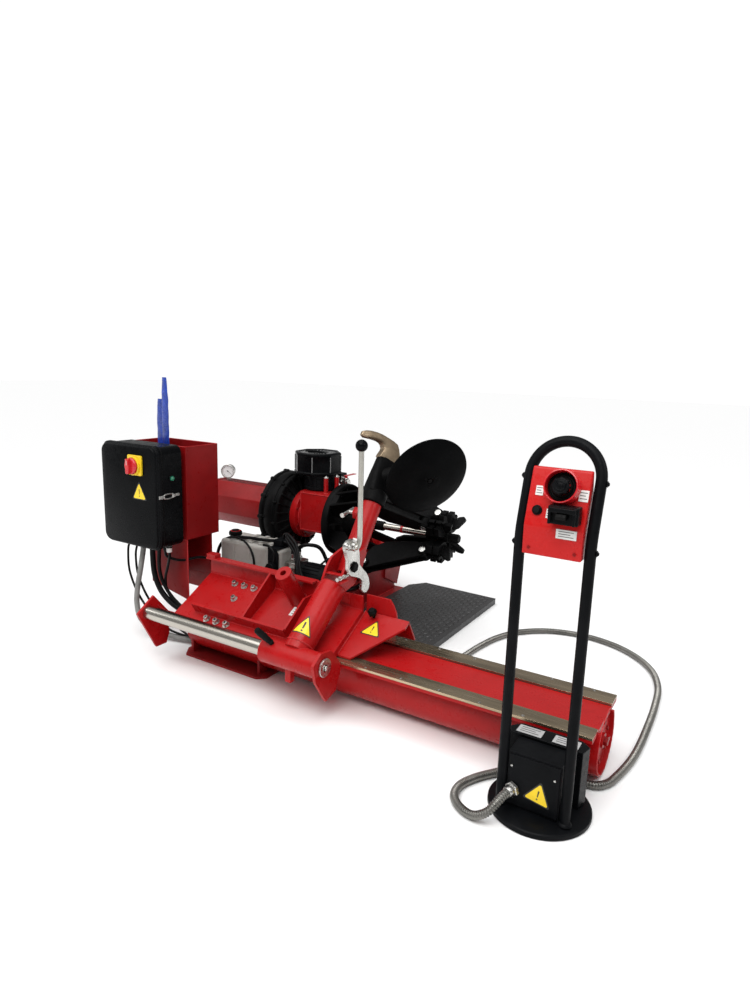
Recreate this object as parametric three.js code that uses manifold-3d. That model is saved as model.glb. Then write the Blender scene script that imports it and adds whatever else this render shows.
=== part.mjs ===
// Truck tyre changer: a floor-standing bed with a sliding tool carriage, a swinging tool arm, a lifting
// chuck arm with a four-jaw chuck, a power pack, an electrical enclosure and a free-standing control stand.
// Millimetres. X runs along the bed, Y goes to the rear, away from the operator, and +Z is up.
// Sizes are laid out from the bed's right end (x = 0, y = 0 at the front rail's outer edge, z = 0 on the floor);
// the whole machine is then shifted so that the origin is below the centre of its bounding box.
import * as THREE from 'three';
import { mergeVertices } from 'three/addons/utils/BufferGeometryUtils.js';
import Module from 'manifold-3d';

const wasm = await Module();
wasm.setup();

// ---- driving dimensions ----
const GAP = 0.3;                                       // clearance between parts that touch
const ORIGIN = { x: -1126, y: 590 };                   // bounding box centre in bed coordinates
const BED = { left: -1700, tubeY: 158, tubeZ: 118, tubeR: 109.5, wall: 8, plateZ: 192.7, railZ: 201, width: 317 };
const SHAFT = { y: -106, z: 222, r: 28, left: -1759.5, right: -872 };
const SLOPE = { y0: -42, z0: 199, y1: 186, z1: 329 };  // top face of the carriage's sloping plate
const CARRIAGE = { left: -1690, right: -909 };
const ARM_X = -1005;
const LOWER_ARM = { angle: THREE.MathUtils.degToRad(40), r: 55, length: 305 };
const UPPER_ARM = { y: 389, z: 691, angle: THREE.MathUtils.degToRad(55.8), r: 40 };
const DISC = { x: -828, y: 513, z: 804, r: 174 };
const SPINDLE = { y: 846, z: 480 };
const ARM_PIVOT = { y: 1250, z: 240 };
const LIFT = { x: -1555, baseY: 1100, baseZ: 130, eyeY: 1080, eyeZ: 360 };
const JAW = { count: 4, pivotX: -1213, pivotR: 218, endX: -958, endR: 101 };
const FEED = { y: 350, z: 128, left: -1630, length: 730 };
const BOX = { left: -2148, right: -1806, front: 0, back: 140, bottom: 444, top: 876 };
const BIN = { left: -2150, right: -1806, front: 165, back: 353, bottom: 459, top: 866 };
const STAND = { x: -109, y: -101, legY: -170, spread: 92, legR: 16, knee: 818, top: 1056, lean: 0.29 };
const CONDUIT_R = 13;

// ---- colours ----
const red = paint(0xb3161b, 0.42);
const darkRed = paint(0x96141a, 0.5);
const black = paint(0x15161a, 0.5);
const blackCast = paint(0x17181a, 0.7);
const plasticBlack = paint(0x121316, 0.45);
const rubber = paint(0x18181a, 0.85);
const chrome = metal(0xc4c4c4, 0.2);
const steel = metal(0x9a9890, 0.38);
const rail = metal(0x8d8674, 0.36);
const silver = metal(0xaaa8a2, 0.45);
const bronze = metal(0x9a8a6c, 0.42);
const tankPlastic = paint(0xb9b6ad, 0.55);
const yellow = paint(0xe3b91e, 0.4);
const knobRed = paint(0xb01a1c, 0.35);
const green = paint(0x0f7f57, 0.3);
const blue = paint(0x2142a8, 0.4);
const white = paint(0xe6e6e2, 0.45);
const chequer = paint(0x33343a, 0.55);

function paint(color, roughness) {
  return new THREE.MeshStandardMaterial({ color, roughness, metalness: 0.0 });
}

function metal(color, roughness) {
  return new THREE.MeshStandardMaterial({ color, roughness, metalness: 1.0 });
}

// ---- solids ----
function toSolid(geometry) {
  const bare = geometry.index ? geometry.toNonIndexed() : geometry.clone();
  bare.deleteAttribute('normal');
  bare.deleteAttribute('uv');
  const merged = mergeVertices(bare, 1e-4);
  return new wasm.Manifold(new wasm.Mesh({
    numProp: 3,
    vertProperties: new Float32Array(merged.attributes.position.array),
    triVerts: new Uint32Array(merged.index.array),
  }));
}

function fromSolid(solid) {
  const mesh = solid.getMesh();
  const geometry = new THREE.BufferGeometry();
  geometry.setAttribute('position', new THREE.BufferAttribute(mesh.vertProperties, 3));
  geometry.setIndex(new THREE.BufferAttribute(mesh.triVerts, 1));
  return geometry;
}

function join(...geometries) {
  return fromSolid(geometries.map(toSolid).reduce((a, b) => a.add(b)));
}

function cut(geometry, ...tools) {
  return fromSolid(tools.map(toSolid).reduce((a, b) => a.subtract(b), toSolid(geometry)));
}

// A rectangular block between two corners.
function block(x0, x1, y0, y1, z0, z1) {
  const geometry = new THREE.BoxGeometry(x1 - x0, y1 - y0, z1 - z0);
  return geometry.translate((x0 + x1) / 2, (y0 + y1) / 2, (z0 + z1) / 2);
}

function outline(points) {
  return new THREE.Shape(points.map(([u, v]) => new THREE.Vector2(u, v)));
}

// Extrude an outline drawn in the YZ plane along X, in the XZ plane along Y, or in the XY plane along Z.
function slabX(points, x0, x1) {
  const geometry = new THREE.ExtrudeGeometry(shapeOf(points), { depth: x1 - x0, bevelEnabled: false, curveSegments: 6 });
  const turn = new THREE.Matrix4().set(0, 0, 1, x0, 1, 0, 0, 0, 0, 1, 0, 0, 0, 0, 0, 1);
  return geometry.applyMatrix4(turn);
}

function slabY(points, y0, y1) {
  const geometry = new THREE.ExtrudeGeometry(shapeOf(points), { depth: y1 - y0, bevelEnabled: false, curveSegments: 6 });
  const turn = new THREE.Matrix4().set(1, 0, 0, 0, 0, 0, -1, y1, 0, 1, 0, 0, 0, 0, 0, 1);
  return geometry.applyMatrix4(turn);
}

function slabZ(points, z0, z1) {
  const geometry = new THREE.ExtrudeGeometry(shapeOf(points), { depth: z1 - z0, bevelEnabled: false, curveSegments: 6 });
  return geometry.translate(0, 0, z0);
}

function shapeOf(points) {
  return points instanceof THREE.Shape ? points : outline(points);
}

function roundedRect(u0, u1, v0, v1, r) {
  const shape = new THREE.Shape();
  shape.moveTo(u0 + r, v0);
  shape.lineTo(u1 - r, v0);
  shape.absarc(u1 - r, v0 + r, r, -Math.PI / 2, 0, false);
  shape.lineTo(u1, v1 - r);
  shape.absarc(u1 - r, v1 - r, r, 0, Math.PI / 2, false);
  shape.lineTo(u0 + r, v1);
  shape.absarc(u0 + r, v1 - r, r, Math.PI / 2, Math.PI, false);
  shape.lineTo(u0, v0 + r);
  shape.absarc(u0 + r, v0 + r, r, Math.PI, Math.PI * 1.5, false);
  return shape;
}

// Turn a solid made along +Y from the origin so that it runs from one point towards another.
function aim(geometry, from, towards) {
  const start = new THREE.Vector3(...from);
  const direction = new THREE.Vector3(...towards).sub(start).normalize();
  geometry.applyQuaternion(new THREE.Quaternion().setFromUnitVectors(new THREE.Vector3(0, 1, 0), direction));
  return geometry.translate(start.x, start.y, start.z);
}

// A round bar between two points.
function bar(from, to, radius, sides = 20, endRadius = radius) {
  const length = new THREE.Vector3(...from).distanceTo(new THREE.Vector3(...to));
  const geometry = new THREE.CylinderGeometry(endRadius, radius, length, sides).translate(0, length / 2, 0);
  return aim(geometry, from, to);
}

// A turned solid: profile points are [radius, distance along the axis], closed on themselves or on the axis.
function turned(profile, from, to, sides = 24) {
  const points = profile.map(([r, d]) => new THREE.Vector2(r, d));
  if (profile[0][0] > 0) {
    points.push(points[0].clone());
  }
  return aim(new THREE.LatheGeometry(points, sides), from, to);
}

function pipe(from, to, outer, inner, sides = 24) {
  const length = new THREE.Vector3(...from).distanceTo(new THREE.Vector3(...to));
  return turned([[inner, 0], [outer, 0], [outer, length], [inner, length]], from, to, sides);
}

// A bent bar or hose of round section along a smooth curve through hand-chosen points.
function hose(points, radius, steps, sides = 8) {
  const curve = new THREE.CatmullRomCurve3(points.map((p) => new THREE.Vector3(...p)), false, 'centripetal');
  return sweep(curve, radius, steps, sides);
}

function sweep(curve, radius, steps, sides) {
  const section = [];
  for (let i = 0; i < sides; i += 1) {
    const a = (2 * Math.PI * i) / sides;
    section.push([radius * Math.cos(a), radius * Math.sin(a)]);
  }
  return new THREE.ExtrudeGeometry(outline(section), { steps, extrudePath: curve, bevelEnabled: false });
}

// A bent round bar with one ring of vertices at each given point; the bend lies in a plane square to `side`.
function bentBar(points, radius, sides, side) {
  const positions = [];
  const index = [];
  const path = points.map((p) => new THREE.Vector3(...p));
  path.forEach((point, i) => {
    const before = path[Math.max(i - 1, 0)];
    const after = path[Math.min(i + 1, path.length - 1)];
    const along = after.clone().sub(before).normalize();
    const across = new THREE.Vector3().crossVectors(along, side).normalize();
    for (let k = 0; k < sides; k += 1) {
      const a = (2 * Math.PI * k) / sides;
      const p = point.clone().addScaledVector(side, radius * Math.cos(a)).addScaledVector(across, radius * Math.sin(a));
      positions.push(p.x, p.y, p.z);
    }
  });
  for (let i = 0; i < path.length - 1; i += 1) {
    for (let k = 0; k < sides; k += 1) {
      const a = i * sides + k;
      const b = i * sides + ((k + 1) % sides);
      index.push(a, b, b + sides, a, b + sides, a + sides);
    }
  }
  const last = (path.length - 1) * sides;
  for (let k = 1; k < sides - 1; k += 1) {
    index.push(0, k + 1, k, last, last + k, last + k + 1);
  }
  const geometry = new THREE.BufferGeometry();
  geometry.setAttribute('position', new THREE.BufferAttribute(new Float32Array(positions), 3));
  geometry.setIndex(index);
  return geometry;
}

const machine = new THREE.Group();

function add(name, geometry, material) {
  const mesh = new THREE.Mesh(geometry, material);
  mesh.name = name;
  machine.add(mesh);
}

const slopeAngle = Math.atan2(SLOPE.z1 - SLOPE.z0, SLOPE.y1 - SLOPE.y0);
const slopeUp = [-Math.sin(slopeAngle), Math.cos(slopeAngle)];

// Height of the sloping plate's top face at a given y.
function slopeZ(y) {
  return SLOPE.z0 + (y - SLOPE.y0) * Math.tan(slopeAngle);
}

// ---- base and bed ----
function makeBase() {
  const beams = [
    block(-1720, -1640, 275, 1330, 8, 88),
    block(-1500, -1420, 275, 1330, 8, 88),
    block(-1641, -1419, 1250, 1330, 8, 88),
  ];
  const foot = slabZ([[-1727, 80], [-1690, 31], [-1300, 31], [-1270, 60], [-1270, 268], [-1340, 300],
    [-1340, 1340], [-1727, 1340]], 0, 8.1);
  const lug = [[LIFT.baseY - 45, 8], [LIFT.baseY + 45, 8], [LIFT.baseY + 20, 150], [LIFT.baseY - 20, 150]];
  const lugs = [slabX(lug, -1600, -1588), slabX(lug, -1522, -1510)];
  const cheek = [[1120, 87], [1328, 87], [1345, 130], [1310, 262], [1278, 294], [1222, 294], [1190, 262]];
  const sidePlate = [[980, 7], [1284, 7], [1330, 90], [1345, 130], [1310, 262], [1278, 294], [1222, 294], [1190, 262],
    [1090, 214], [980, 204]];
  const doubler = [[1173, 104], [1308, 34], [1343, 134], [1308, 258], [1276, 288], [1222, 288], [1179, 240]];
  const cheeks = [slabX(cheek, -1700, -1682), slabX(sidePlate, -1421, -1402), slabX(doubler, -1403, -1390)];
  const shelf = block(-1925, -1300, 466, 650, 150, 158);
  const posts = [-1715, -1495].map((x) => block(x, x + 60, 480, 640, 87, 151));
  const saddles = [-1690, -1320].map((x) => cut(block(x, x + 12, 62, 254, 7, 74),
    bar([x - 5, BED.tubeY, BED.tubeZ], [x + 20, BED.tubeY, BED.tubeZ], BED.tubeR + 1, 40)));
  const entry = turned([[0, 0], [17, 0], [17, 12], [14, 13], [14, 31], [0, 31]], [-1421, 404, 46], [-1300, 404, 46], 12);
  const lugHoles = bar([-1610, LIFT.baseY, LIFT.baseZ], [-1500, LIFT.baseY, LIFT.baseZ], 12.4, 16);
  const pinHoles = bar([-1800, ARM_PIVOT.y, ARM_PIVOT.z], [-1300, ARM_PIVOT.y, ARM_PIVOT.z], 25.3, 20);
  const boltHole = bar([-1703, 123, -5], [-1703, 123, 20], 9, 12);
  add('base_frame', cut(join(foot, ...beams, ...lugs, ...cheeks, shelf, ...posts, ...saddles, entry),
    lugHoles, pinHoles, boltHole), red);
}

function makeBed() {
  const right = BED.left + 1709;
  const shell = pipe([BED.left, BED.tubeY, BED.tubeZ], [right, BED.tubeY, BED.tubeZ], BED.tubeR, BED.tubeR - BED.wall, 48);
  const plateBottom = BED.plateZ - 12;
  const open = cut(shell, block(BED.left - 1, right + 1, 0, 320, plateBottom + 2, 300));
  const plate = block(BED.left, 0, 2, 315, plateBottom, BED.plateZ);
  const foot = block(-260, -60, 84, 232, 0, 24);
  const footCut = bar([-300, BED.tubeY, BED.tubeZ], [0, BED.tubeY, BED.tubeZ], BED.tubeR - 4, 48);
  const plug = cut(bar([-16, BED.tubeY, BED.tubeZ], [-6, BED.tubeY, BED.tubeZ], BED.tubeR - 6, 40),
    block(-30, 10, 0, 320, plateBottom - 3, 300));
  const hub = bar([-7, BED.tubeY, BED.tubeZ], [4, BED.tubeY, BED.tubeZ], 24, 16);
  const lug = slabZ([[-7, 205], [9, 205], [9, 222], [-7, 246]], 92, 104);
  add('bed', join(open, plate, cut(foot, footCut), plug, hub, lug), red);
  add('front_rail', block(BED.left, 0, 0, 63, BED.plateZ + GAP, BED.railZ), rail);
  add('rear_rail', block(BED.left, 0, 245, BED.width, BED.plateZ + GAP, BED.railZ), rail);
}

function makeFeedCylinder() {
  const { y, z, left, length } = FEED;
  const barrel = turned([[0, 0], [30, 0], [30, length], [16.4, length], [16.4, length - 25], [24, length - 25], [24, 12],
    [0, 12]], [left, y, z], [0, y, z], 20);
  const clevis = block(left - 14, left + 4, y - 16, y + 16, z - 16, z + 16);
  const bore = bar([left + 12, y, z], [left + length - 20, y, z], 24, 20);
  const rings = [-1590, -980].map((x) => cut(join(bar([x - 12, y, z], [x + 12, y, z], 36, 20),
    block(x - 12, x + 12, 268, 325, z - 14, z + 14)), bore));
  add('feed_cylinder', join(barrel, clevis, ...rings), black);
  const rod = join(bar([left + 20, y, z], [left + 45, y, z], 23.4, 20), bar([left + 44, y, z], [-876, y, z], 16, 20));
  add('feed_rod', rod, chrome);
}

// ---- column, tool bin and electrical enclosure ----
function makeColumn() {
  const outer = slabY([[-2045, 226], [-1812, 181], [-1812, 458.7], [-2045, 458.7]], 165, 315);
  const hollow = block(-2039, -1800, 171, 309, 100, 500);
  const arm = block(-2039, -1702, 308, 395, 190, 262);
  const post = block(-1718, -1650, 333, 395, 88.3, 262);
  add('column', join(cut(outer, hollow), arm, post), red);
  const shell = block(BIN.left, BIN.right, BIN.front, BIN.back, BIN.bottom, BIN.top);
  const room = block(BIN.left + 4, BIN.right - 4, BIN.front + 4, BIN.back - 4, BIN.bottom + 4, BIN.top + 10);
  add('tool_bin', cut(shell, room), red);
  const leverLong = slabY([[-2034, 0], [-2003, 0], [-2003, 600], [-2010, 690], [-2028, 690], [-2034, 640]], 244, 254);
  const leverShort = slabY([[-2088, 0], [-2062, 0], [-2062, 592], [-2084, 592]], 262, 271);
  add('tyre_lever_long', leverLong.translate(0, 0, BIN.bottom + 4 + GAP), blue);
  add('tyre_lever_short', leverShort.translate(0, 0, BIN.bottom + 4 + GAP), blue);
}

function makeEnclosure() {
  const outside = slabY(roundedRect(BOX.left, BOX.right, BOX.bottom, BOX.top, 32), 33, BOX.back);
  const room = slabY(roundedRect(BOX.left + 5, BOX.right - 5, BOX.bottom + 5, BOX.top - 5, 28), 20, BOX.back - 5);
  const spacers = [block(-2110, -1845, BOX.back - 1, BIN.front - GAP, 560, 600),
    block(-2110, -1845, BOX.back - 1, BIN.front - GAP, 740, 780)];
  const blocks = [[-2095, -2025], [-2015, -1950], [-1940, -1865]];
  const panel = join(block(-2115, -1840, 129, BOX.back - 4, 480, 840),
    ...blocks.map(([x0, x1]) => block(x0, x1, 70, 130, 660, 740)),
    ...blocks.map(([x0, x1]) => block(x0, x1 - 8, 84, 130, 540, 605)));
  add('enclosure_body', join(cut(outside, room), ...spacers, panel), plasticBlack);
  const face = slabY(roundedRect(BOX.left - 5, BOX.right + 5, BOX.bottom - 6, BOX.top + 6, 36), BOX.front, 33 - GAP);
  const recess = slabY(roundedRect(BOX.left + 3, BOX.right - 3, BOX.bottom + 2, BOX.top - 2, 30), 6, 50);
  add('enclosure_door', cut(face, recess), plasticBlack);
  add('switch_plate', slabY(roundedRect(-1961, -1889, 757, 831, 6), -18, -GAP), yellow);
  const dial = bar([-1925, -18.3, 794], [-1925, -34, 794], 30, 24);
  const grip = block(-1934, -1916, -46, -33, 766, 822);
  add('main_switch_knob', join(dial, grip), knobRed);
  const side = BOX.right + GAP;
  add('indicator_lamp', turned([[0, 0], [12, 0], [12, 4], [9, 10], [0, 12]], [side, 84, 742], [side + 20, 84, 742], 16), green);
  add('latch_clip', slabY(roundedRect(side, side + 7, 658, 682, 3), 36, 84), silver);
}

// ---- power pack ----
function makePowerPack() {
  const tank = slabZ(roundedRect(-1920, -1540, 472, 640, 24), 158 + GAP, 388);
  const neck = bar([-1860, 520, 380], [-1860, 520, 402], 26, 16);
  const ribs = [-1740, -1680, -1620].map((x) => block(x - 12, x + 12, 490, 622, 387, 396));
  add('hydraulic_tank', join(tank, neck, ...ribs), tankPlastic);
  add('tank_cap', turned([[0, 0], [31, 0], [31, 18], [24, 26], [0, 26]], [-1860, 520, 402 + GAP], [-1860, 520, 500], 16), rubber);
  add('valve_block', join(block(-1540 + GAP, -1480, 500, 610, 180, 330),
    bar([-1515, 530, 329], [-1515, 530, 362], 15, 12), bar([-1515, 580, 329], [-1515, 580, 362], 15, 12)), steel);
  add('pump_motor', turned([[0, 0], [62, 0], [78, 8], [78, 150], [62, 166], [0, 166]],
    [-1480 + GAP, 555, 250], [-1300, 555, 250], 24), black);
}

// ---- wheel platform ----
function makePlatform() {
  const edge = [[-1330, 450], [-845, 450], [-845, 1414], [-1268, 1428], [-1330, 1340]];
  const inside = [[-1325, 455], [-850, 455], [-850, 1409], [-1266, 1423], [-1325, 1338]];
  add('wheel_platform', cut(slabZ(edge, 0, 31), slabZ(inside, -5, 26)), chequer);
}

// ---- chuck arm: pivots on the rear bracket and is lifted by a hydraulic cylinder ----
function makeChuckArm() {
  add('pivot_pin', join(bar([-1712, ARM_PIVOT.y, ARM_PIVOT.z], [-1370, ARM_PIVOT.y, ARM_PIVOT.z], 25, 20),
    bar([-1720, ARM_PIVOT.y, ARM_PIVOT.z], [-1701, ARM_PIVOT.y, ARM_PIVOT.z], 34, 20)), steel);
  const axis = (x0, x1, y, z, r, sides) => bar([x0, y, z], [x1, y, z], r, sides);
  const box = slabX([[750, 415], [750, 612], [950, 612], [1246, 286], [1206, 226], [1090, 402], [950, 415]], -1645, -1465);
  const room = block(-1637, -1473, 758, 942, 423, 604);
  const hub = axis(-1680, -1423, ARM_PIVOT.y, ARM_PIVOT.z, 46, 24);
  const bearing = axis(-1505, -1470, SPINDLE.y, SPINDLE.z, 58, 24);
  const flange = turned([[0, 0], [122, 0], [122, 34], [104, 41], [104, 51], [0, 51]],
    [-1691, SPINDLE.y, SPINDLE.z], [-1600, SPINDLE.y, SPINDLE.z], 32);
  const posts = [[-1514, 786], [-1496, 852]].map(([x, y]) => bar([x, y, 611], [x, y, 690], 11, 12));
  const ears = [-1600, -1522].map((x) => slabX([[1035, 420], [1080, 420], [1110, 380], [1098, 344], [1062, 344]], x, x + 12));
  const pinBore = axis(-1700, -1380, ARM_PIVOT.y, ARM_PIVOT.z, 25.4, 20);
  const shaftHole = axis(-1510, -1460, SPINDLE.y, SPINDLE.z, 40.4, 24);
  const eyePin = axis(-1606, -1504, LIFT.eyeY, LIFT.eyeZ, 12, 16);
  add('chuck_arm', join(cut(join(cut(box, room), hub, bearing, flange, ...posts, ...ears), pinBore, shaftHole), eyePin), red);
  const drum = turned([[0, 0], [196, 0], [205, 8], [205, 96], [196, 110], [150, 118], [122, 134.7], [0, 134.7]],
    [-1826, SPINDLE.y, SPINDLE.z], [-1700, SPINDLE.y, SPINDLE.z], 40);
  add('gear_housing', join(drum, ...drumRibs()), blackCast);
  add('motor_cowl', octagonX(112, -2290, -1826 - GAP), red);
  add('drive_motor', bar([-1602, 868, 612 + GAP], [-1602, 868, 690], 84, 24), black);
  const cover = new THREE.CylinderGeometry(118, 124, 110, 8).rotateY(Math.PI / 8).rotateX(Math.PI / 2);
  add('fan_cover', cover.translate(-1625, 868, 690 + GAP + 55), plasticBlack);
  add('pressure_gauge', join(bar([-2214, 846, 592 + GAP], [-2214, 846, 640], 8, 12),
    bar([-2224, 866, 640], [-2205, 828, 640], 38, 28)), silver);
  add('ball_valve', join(bar([-1490, 925, 612 + GAP], [-1490, 925, 672], 15, 12),
    bar([-1520, 925, 650], [-1472, 925, 650], 13, 12)), silver);
  add('ball_valve_handle', join(bar([-1490, 925, 672 + GAP], [-1490, 925, 684], 11, 12),
    block(-1497, -1483, 918, 1005, 681, 686)), knobRed);
}

// Radial stiffening ribs on the gear housing's cone and bolt bosses round its rim.
function drumRibs() {
  const parts = [];
  const ribs = 12;
  for (let i = 0; i < ribs; i += 1) {
    const a = (2 * Math.PI * (i + 0.5)) / ribs;
    const rib = slabY([[-1722, 120], [-1722, 198], [-1708, 192], [-1696, 150], [-1694, 124], [-1700, 116]], -4, 4);
    parts.push(rib.rotateX(a - Math.PI / 2).translate(0, SPINDLE.y, SPINDLE.z));
    const boss = bar([-1822, 202, 0], [-1796, 202, 0], 11, 8);
    parts.push(boss.rotateX(a).translate(0, SPINDLE.y, SPINDLE.z));
  }
  return parts;
}

// An eight-sided casing on the spindle's axis, standing on a flat.
function octagonX(halfWidth, x0, x1) {
  const r = halfWidth / Math.cos(Math.PI / 8);
  const casing = bar([x0, 0, 0], [x1, 0, 0], r, 8);
  return casing.rotateX(Math.PI / 8).translate(0, SPINDLE.y, SPINDLE.z);
}

function makeLiftCylinder() {
  const base = new THREE.Vector3(LIFT.x, LIFT.baseY, LIFT.baseZ);
  const eye = new THREE.Vector3(LIFT.x, LIFT.eyeY, LIFT.eyeZ);
  const along = eye.clone().sub(base).normalize();
  const at = (d) => base.clone().addScaledVector(along, d).toArray();
  const trunnion = bar([LIFT.x - 52, base.y, base.z], [LIFT.x + 52, base.y, base.z], 12, 16);
  const barrel = turned([[0, 0], [32, 0], [32, 170], [17.4, 170], [17.4, 152], [26, 152], [26, 20], [0, 20]],
    at(0), at(200), 24);
  add('lift_cylinder', join(trunnion, barrel), black);
  const length = eye.distanceTo(base);
  const eyeEnd = bar([LIFT.x - 22, eye.y, eye.z], [LIFT.x + 22, eye.y, eye.z], 22, 20);
  const rod = join(bar(at(26), at(44), 25.4, 20), bar(at(43), at(length - 10), 17, 20), eyeEnd);
  add('lift_rod', cut(rod, bar([LIFT.x - 60, eye.y, eye.z], [LIFT.x + 60, eye.y, eye.z], 15.5, 16)), chrome);
}

// ---- chuck: turns on the spindle; four jaw arms swing outwards together ----
function aroundSpindle(geometry, angle) {
  return geometry.rotateX(angle).translate(0, SPINDLE.y, SPINDLE.z);
}

function jawAngle(i) {
  return Math.PI / 4 + (i * 2 * Math.PI) / JAW.count;
}

function makeChuck() {
  const spindle = bar([-1630, SPINDLE.y, SPINDLE.z], [-1460, SPINDLE.y, SPINDLE.z], 40, 24);
  const plate = turned([[0, 0], [172, 0], [178, 6], [178, 26], [150, 38], [62, 44], [62, 150], [17, 150], [17, 60], [0, 60]],
    [-1462 + GAP, SPINDLE.y, SPINDLE.z], [-1300, SPINDLE.y, SPINDLE.z], 40);
  const parts = [];
  for (let i = 0; i < JAW.count; i += 1) {
    for (const side of [-1, 1]) {
      const cheek = slabY([[-1440, 100], [-1440, 170], [-1236, 242], [-1204, 242], [-1190, 216], [-1206, 194], [-1380, 100]],
        side * 34 - 6, side * 34 + 6);
      parts.push(aroundSpindle(cheek, jawAngle(i)));
    }
    parts.push(aroundSpindle(block(-1430, -1400, -35, 35, 100, 176), jawAngle(i)));
    parts.push(aroundSpindle(bar([JAW.pivotX, -48, JAW.pivotR], [JAW.pivotX, 48, JAW.pivotR], 13, 12), jawAngle(i)));
  }
  add('chuck_body', join(plate, spindle, ...parts), blackCast);
  const rod = join(bar([-1395, SPINDLE.y, SPINDLE.z], [-860, SPINDLE.y, SPINDLE.z], 16.4, 20),
    bar([-985, SPINDLE.y, SPINDLE.z], [-862, SPINDLE.y, SPINDLE.z], 25, 8),
    bar([-863, SPINDLE.y, SPINDLE.z], [-822, SPINDLE.y, SPINDLE.z], 21, 6));
  add('chuck_rod', rod, chrome);
  for (let i = 0; i < JAW.count; i += 1) {
    add(`jaw_${i + 1}`, aroundSpindle(jaw(), jawAngle(i)), blackCast);
  }
}

// One jaw drawn straight above the spindle's axis: a flat arm from its pin to a toothed claw with an outward spur.
function jaw() {
  const arm = slabY([[-1213, 190], [-1226, 216], [-1210, 245], [-960, 132], [-936, 108], [-948, 76], [-975, 74]], -26, 26);
  const ends = join(bar([JAW.pivotX, -27, JAW.pivotR], [JAW.pivotX, 27, JAW.pivotR], 28, 16),
    bar([JAW.endX, -34, JAW.endR], [JAW.endX, 34, JAW.endR], 24, 16));
  const claw = slabX([[-30, 46], [-12, 30], [12, 30], [30, 46], [52, 92], [34, 122], [20, 104], [0, 126], [-20, 104],
    [-34, 122], [-52, 92]], -940, -874);
  const spur = slabY([[-876, 44], [-876, 92], [-842, 116], [-826, 108], [-846, 60]], -10, 10);
  const bore = bar([JAW.pivotX, -60, JAW.pivotR], [JAW.pivotX, 60, JAW.pivotR], 14, 12);
  return cut(join(arm, ends, claw, spur), bore);
}

// ---- tool carriage ----
function makeCarriage() {
  const { left, right } = CARRIAGE;
  const plate = slabX([[SLOPE.y0, SLOPE.z0 - 9], [SLOPE.y0, SLOPE.z0], [SLOPE.y1, SLOPE.z1], [SLOPE.y1 + 8, SLOPE.z1],
    [SLOPE.y1 + 8, SLOPE.z1 - 5]], left, right);
  const frontLip = block(-1751, -884, SLOPE.y0, -3, 166, 198);
  const pads = [block(left + 20, right - 20, 4, 58, BED.railZ + 0.2, 206),
    block(left + 20, right - 20, 250, 312, BED.railZ + 0.2, 208)];
  const hook = block(left, right, -4, 26, 166, 178);
  const backPlate = slabY([[left, 207], [right, 207], [right, 384], [-1085, 380], [-1120, 404],
    [left, 404]], SLOPE.y1, SLOPE.y1 + 10);
  const ridge = block(left, -1120, 158, 196, 396, 404);
  const rearDeck = block(left, right, 195, 330, 207, 216);
  const rearLip = block(left, right, 321, 330, 166, 208);
  const rearHook = block(left, right, 292, 322, 166, 178);
  const webs = [left, -1330, -1130, right - 9].map((x) => slabX([[-34, 203], [SLOPE.y1 + 2, SLOPE.z1 - 4], [SLOPE.y1 + 2, 207]],
    x, x + 9));
  const crossRib = slabX([[14, slopeZ(14) - 4], [190, slopeZ(190) - 4], [190, 400], [158, 400], [-12, 262]], -1338, -1330);
  const rightRib = slabX([[14, slopeZ(14) - 4], [190, slopeZ(190) - 4], [190, 352], [110, 352], [-12, 262]], -1130, -1122);
  const foot = [5, slopeZ(5) - 4];
  const longRib = slabX([foot, [foot[0] + 9, foot[1] + 5], [foot[0] + 9 + 50 * slopeUp[0], foot[1] + 5 + 50 * slopeUp[1]],
    [foot[0] + 50 * slopeUp[0], foot[1] + 50 * slopeUp[1]]], -1597, -1123);
  const post = bar([-1190, 164, slopeZ(164) - 8], [-1190, 64, 452], 33, 20);
  const block1 = block(-1688, -1640, 160, 195, 403, 420);
  const leftEar = slabX([[-76, 284], [-160, 228], [-72, 60], [-19, 60], [-3, 100], [-3, 197]], -1760, -1750);
  const rightEar = slabX([[-60, 266], [-120, 276], [-164, 246], [-150, 180], [-89, 88], [-30, 106], [-3, 170], [-3, 198]],
    -885, -874);
  const postHole = bar([-1190, 110, 390], [-1190, 60, 458], 12.5, 12);
  const frame = join(plate, frontLip, hook, backPlate, ridge, ...pads, rearDeck, rearLip, rearHook, ...webs, crossRib, rightRib,
    longRib, post, block1, leftEar, rightEar);
  const shaftHoles = bar([-1800, SHAFT.y, SHAFT.z], [-800, SHAFT.y, SHAFT.z], SHAFT.r + GAP, 24);
  add('carriage_frame', cut(frame, postHole, shaftHoles), red);
  const at = (x) => [x, SHAFT.y, SHAFT.z];
  add('guide_shaft', join(bar(at(SHAFT.left), at(SHAFT.right), SHAFT.r, 28), bar(at(-873), at(-864), 33, 24),
    bar(at(-865), at(-858), 10, 6)), chrome);
  makeGuard();
}

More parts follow.
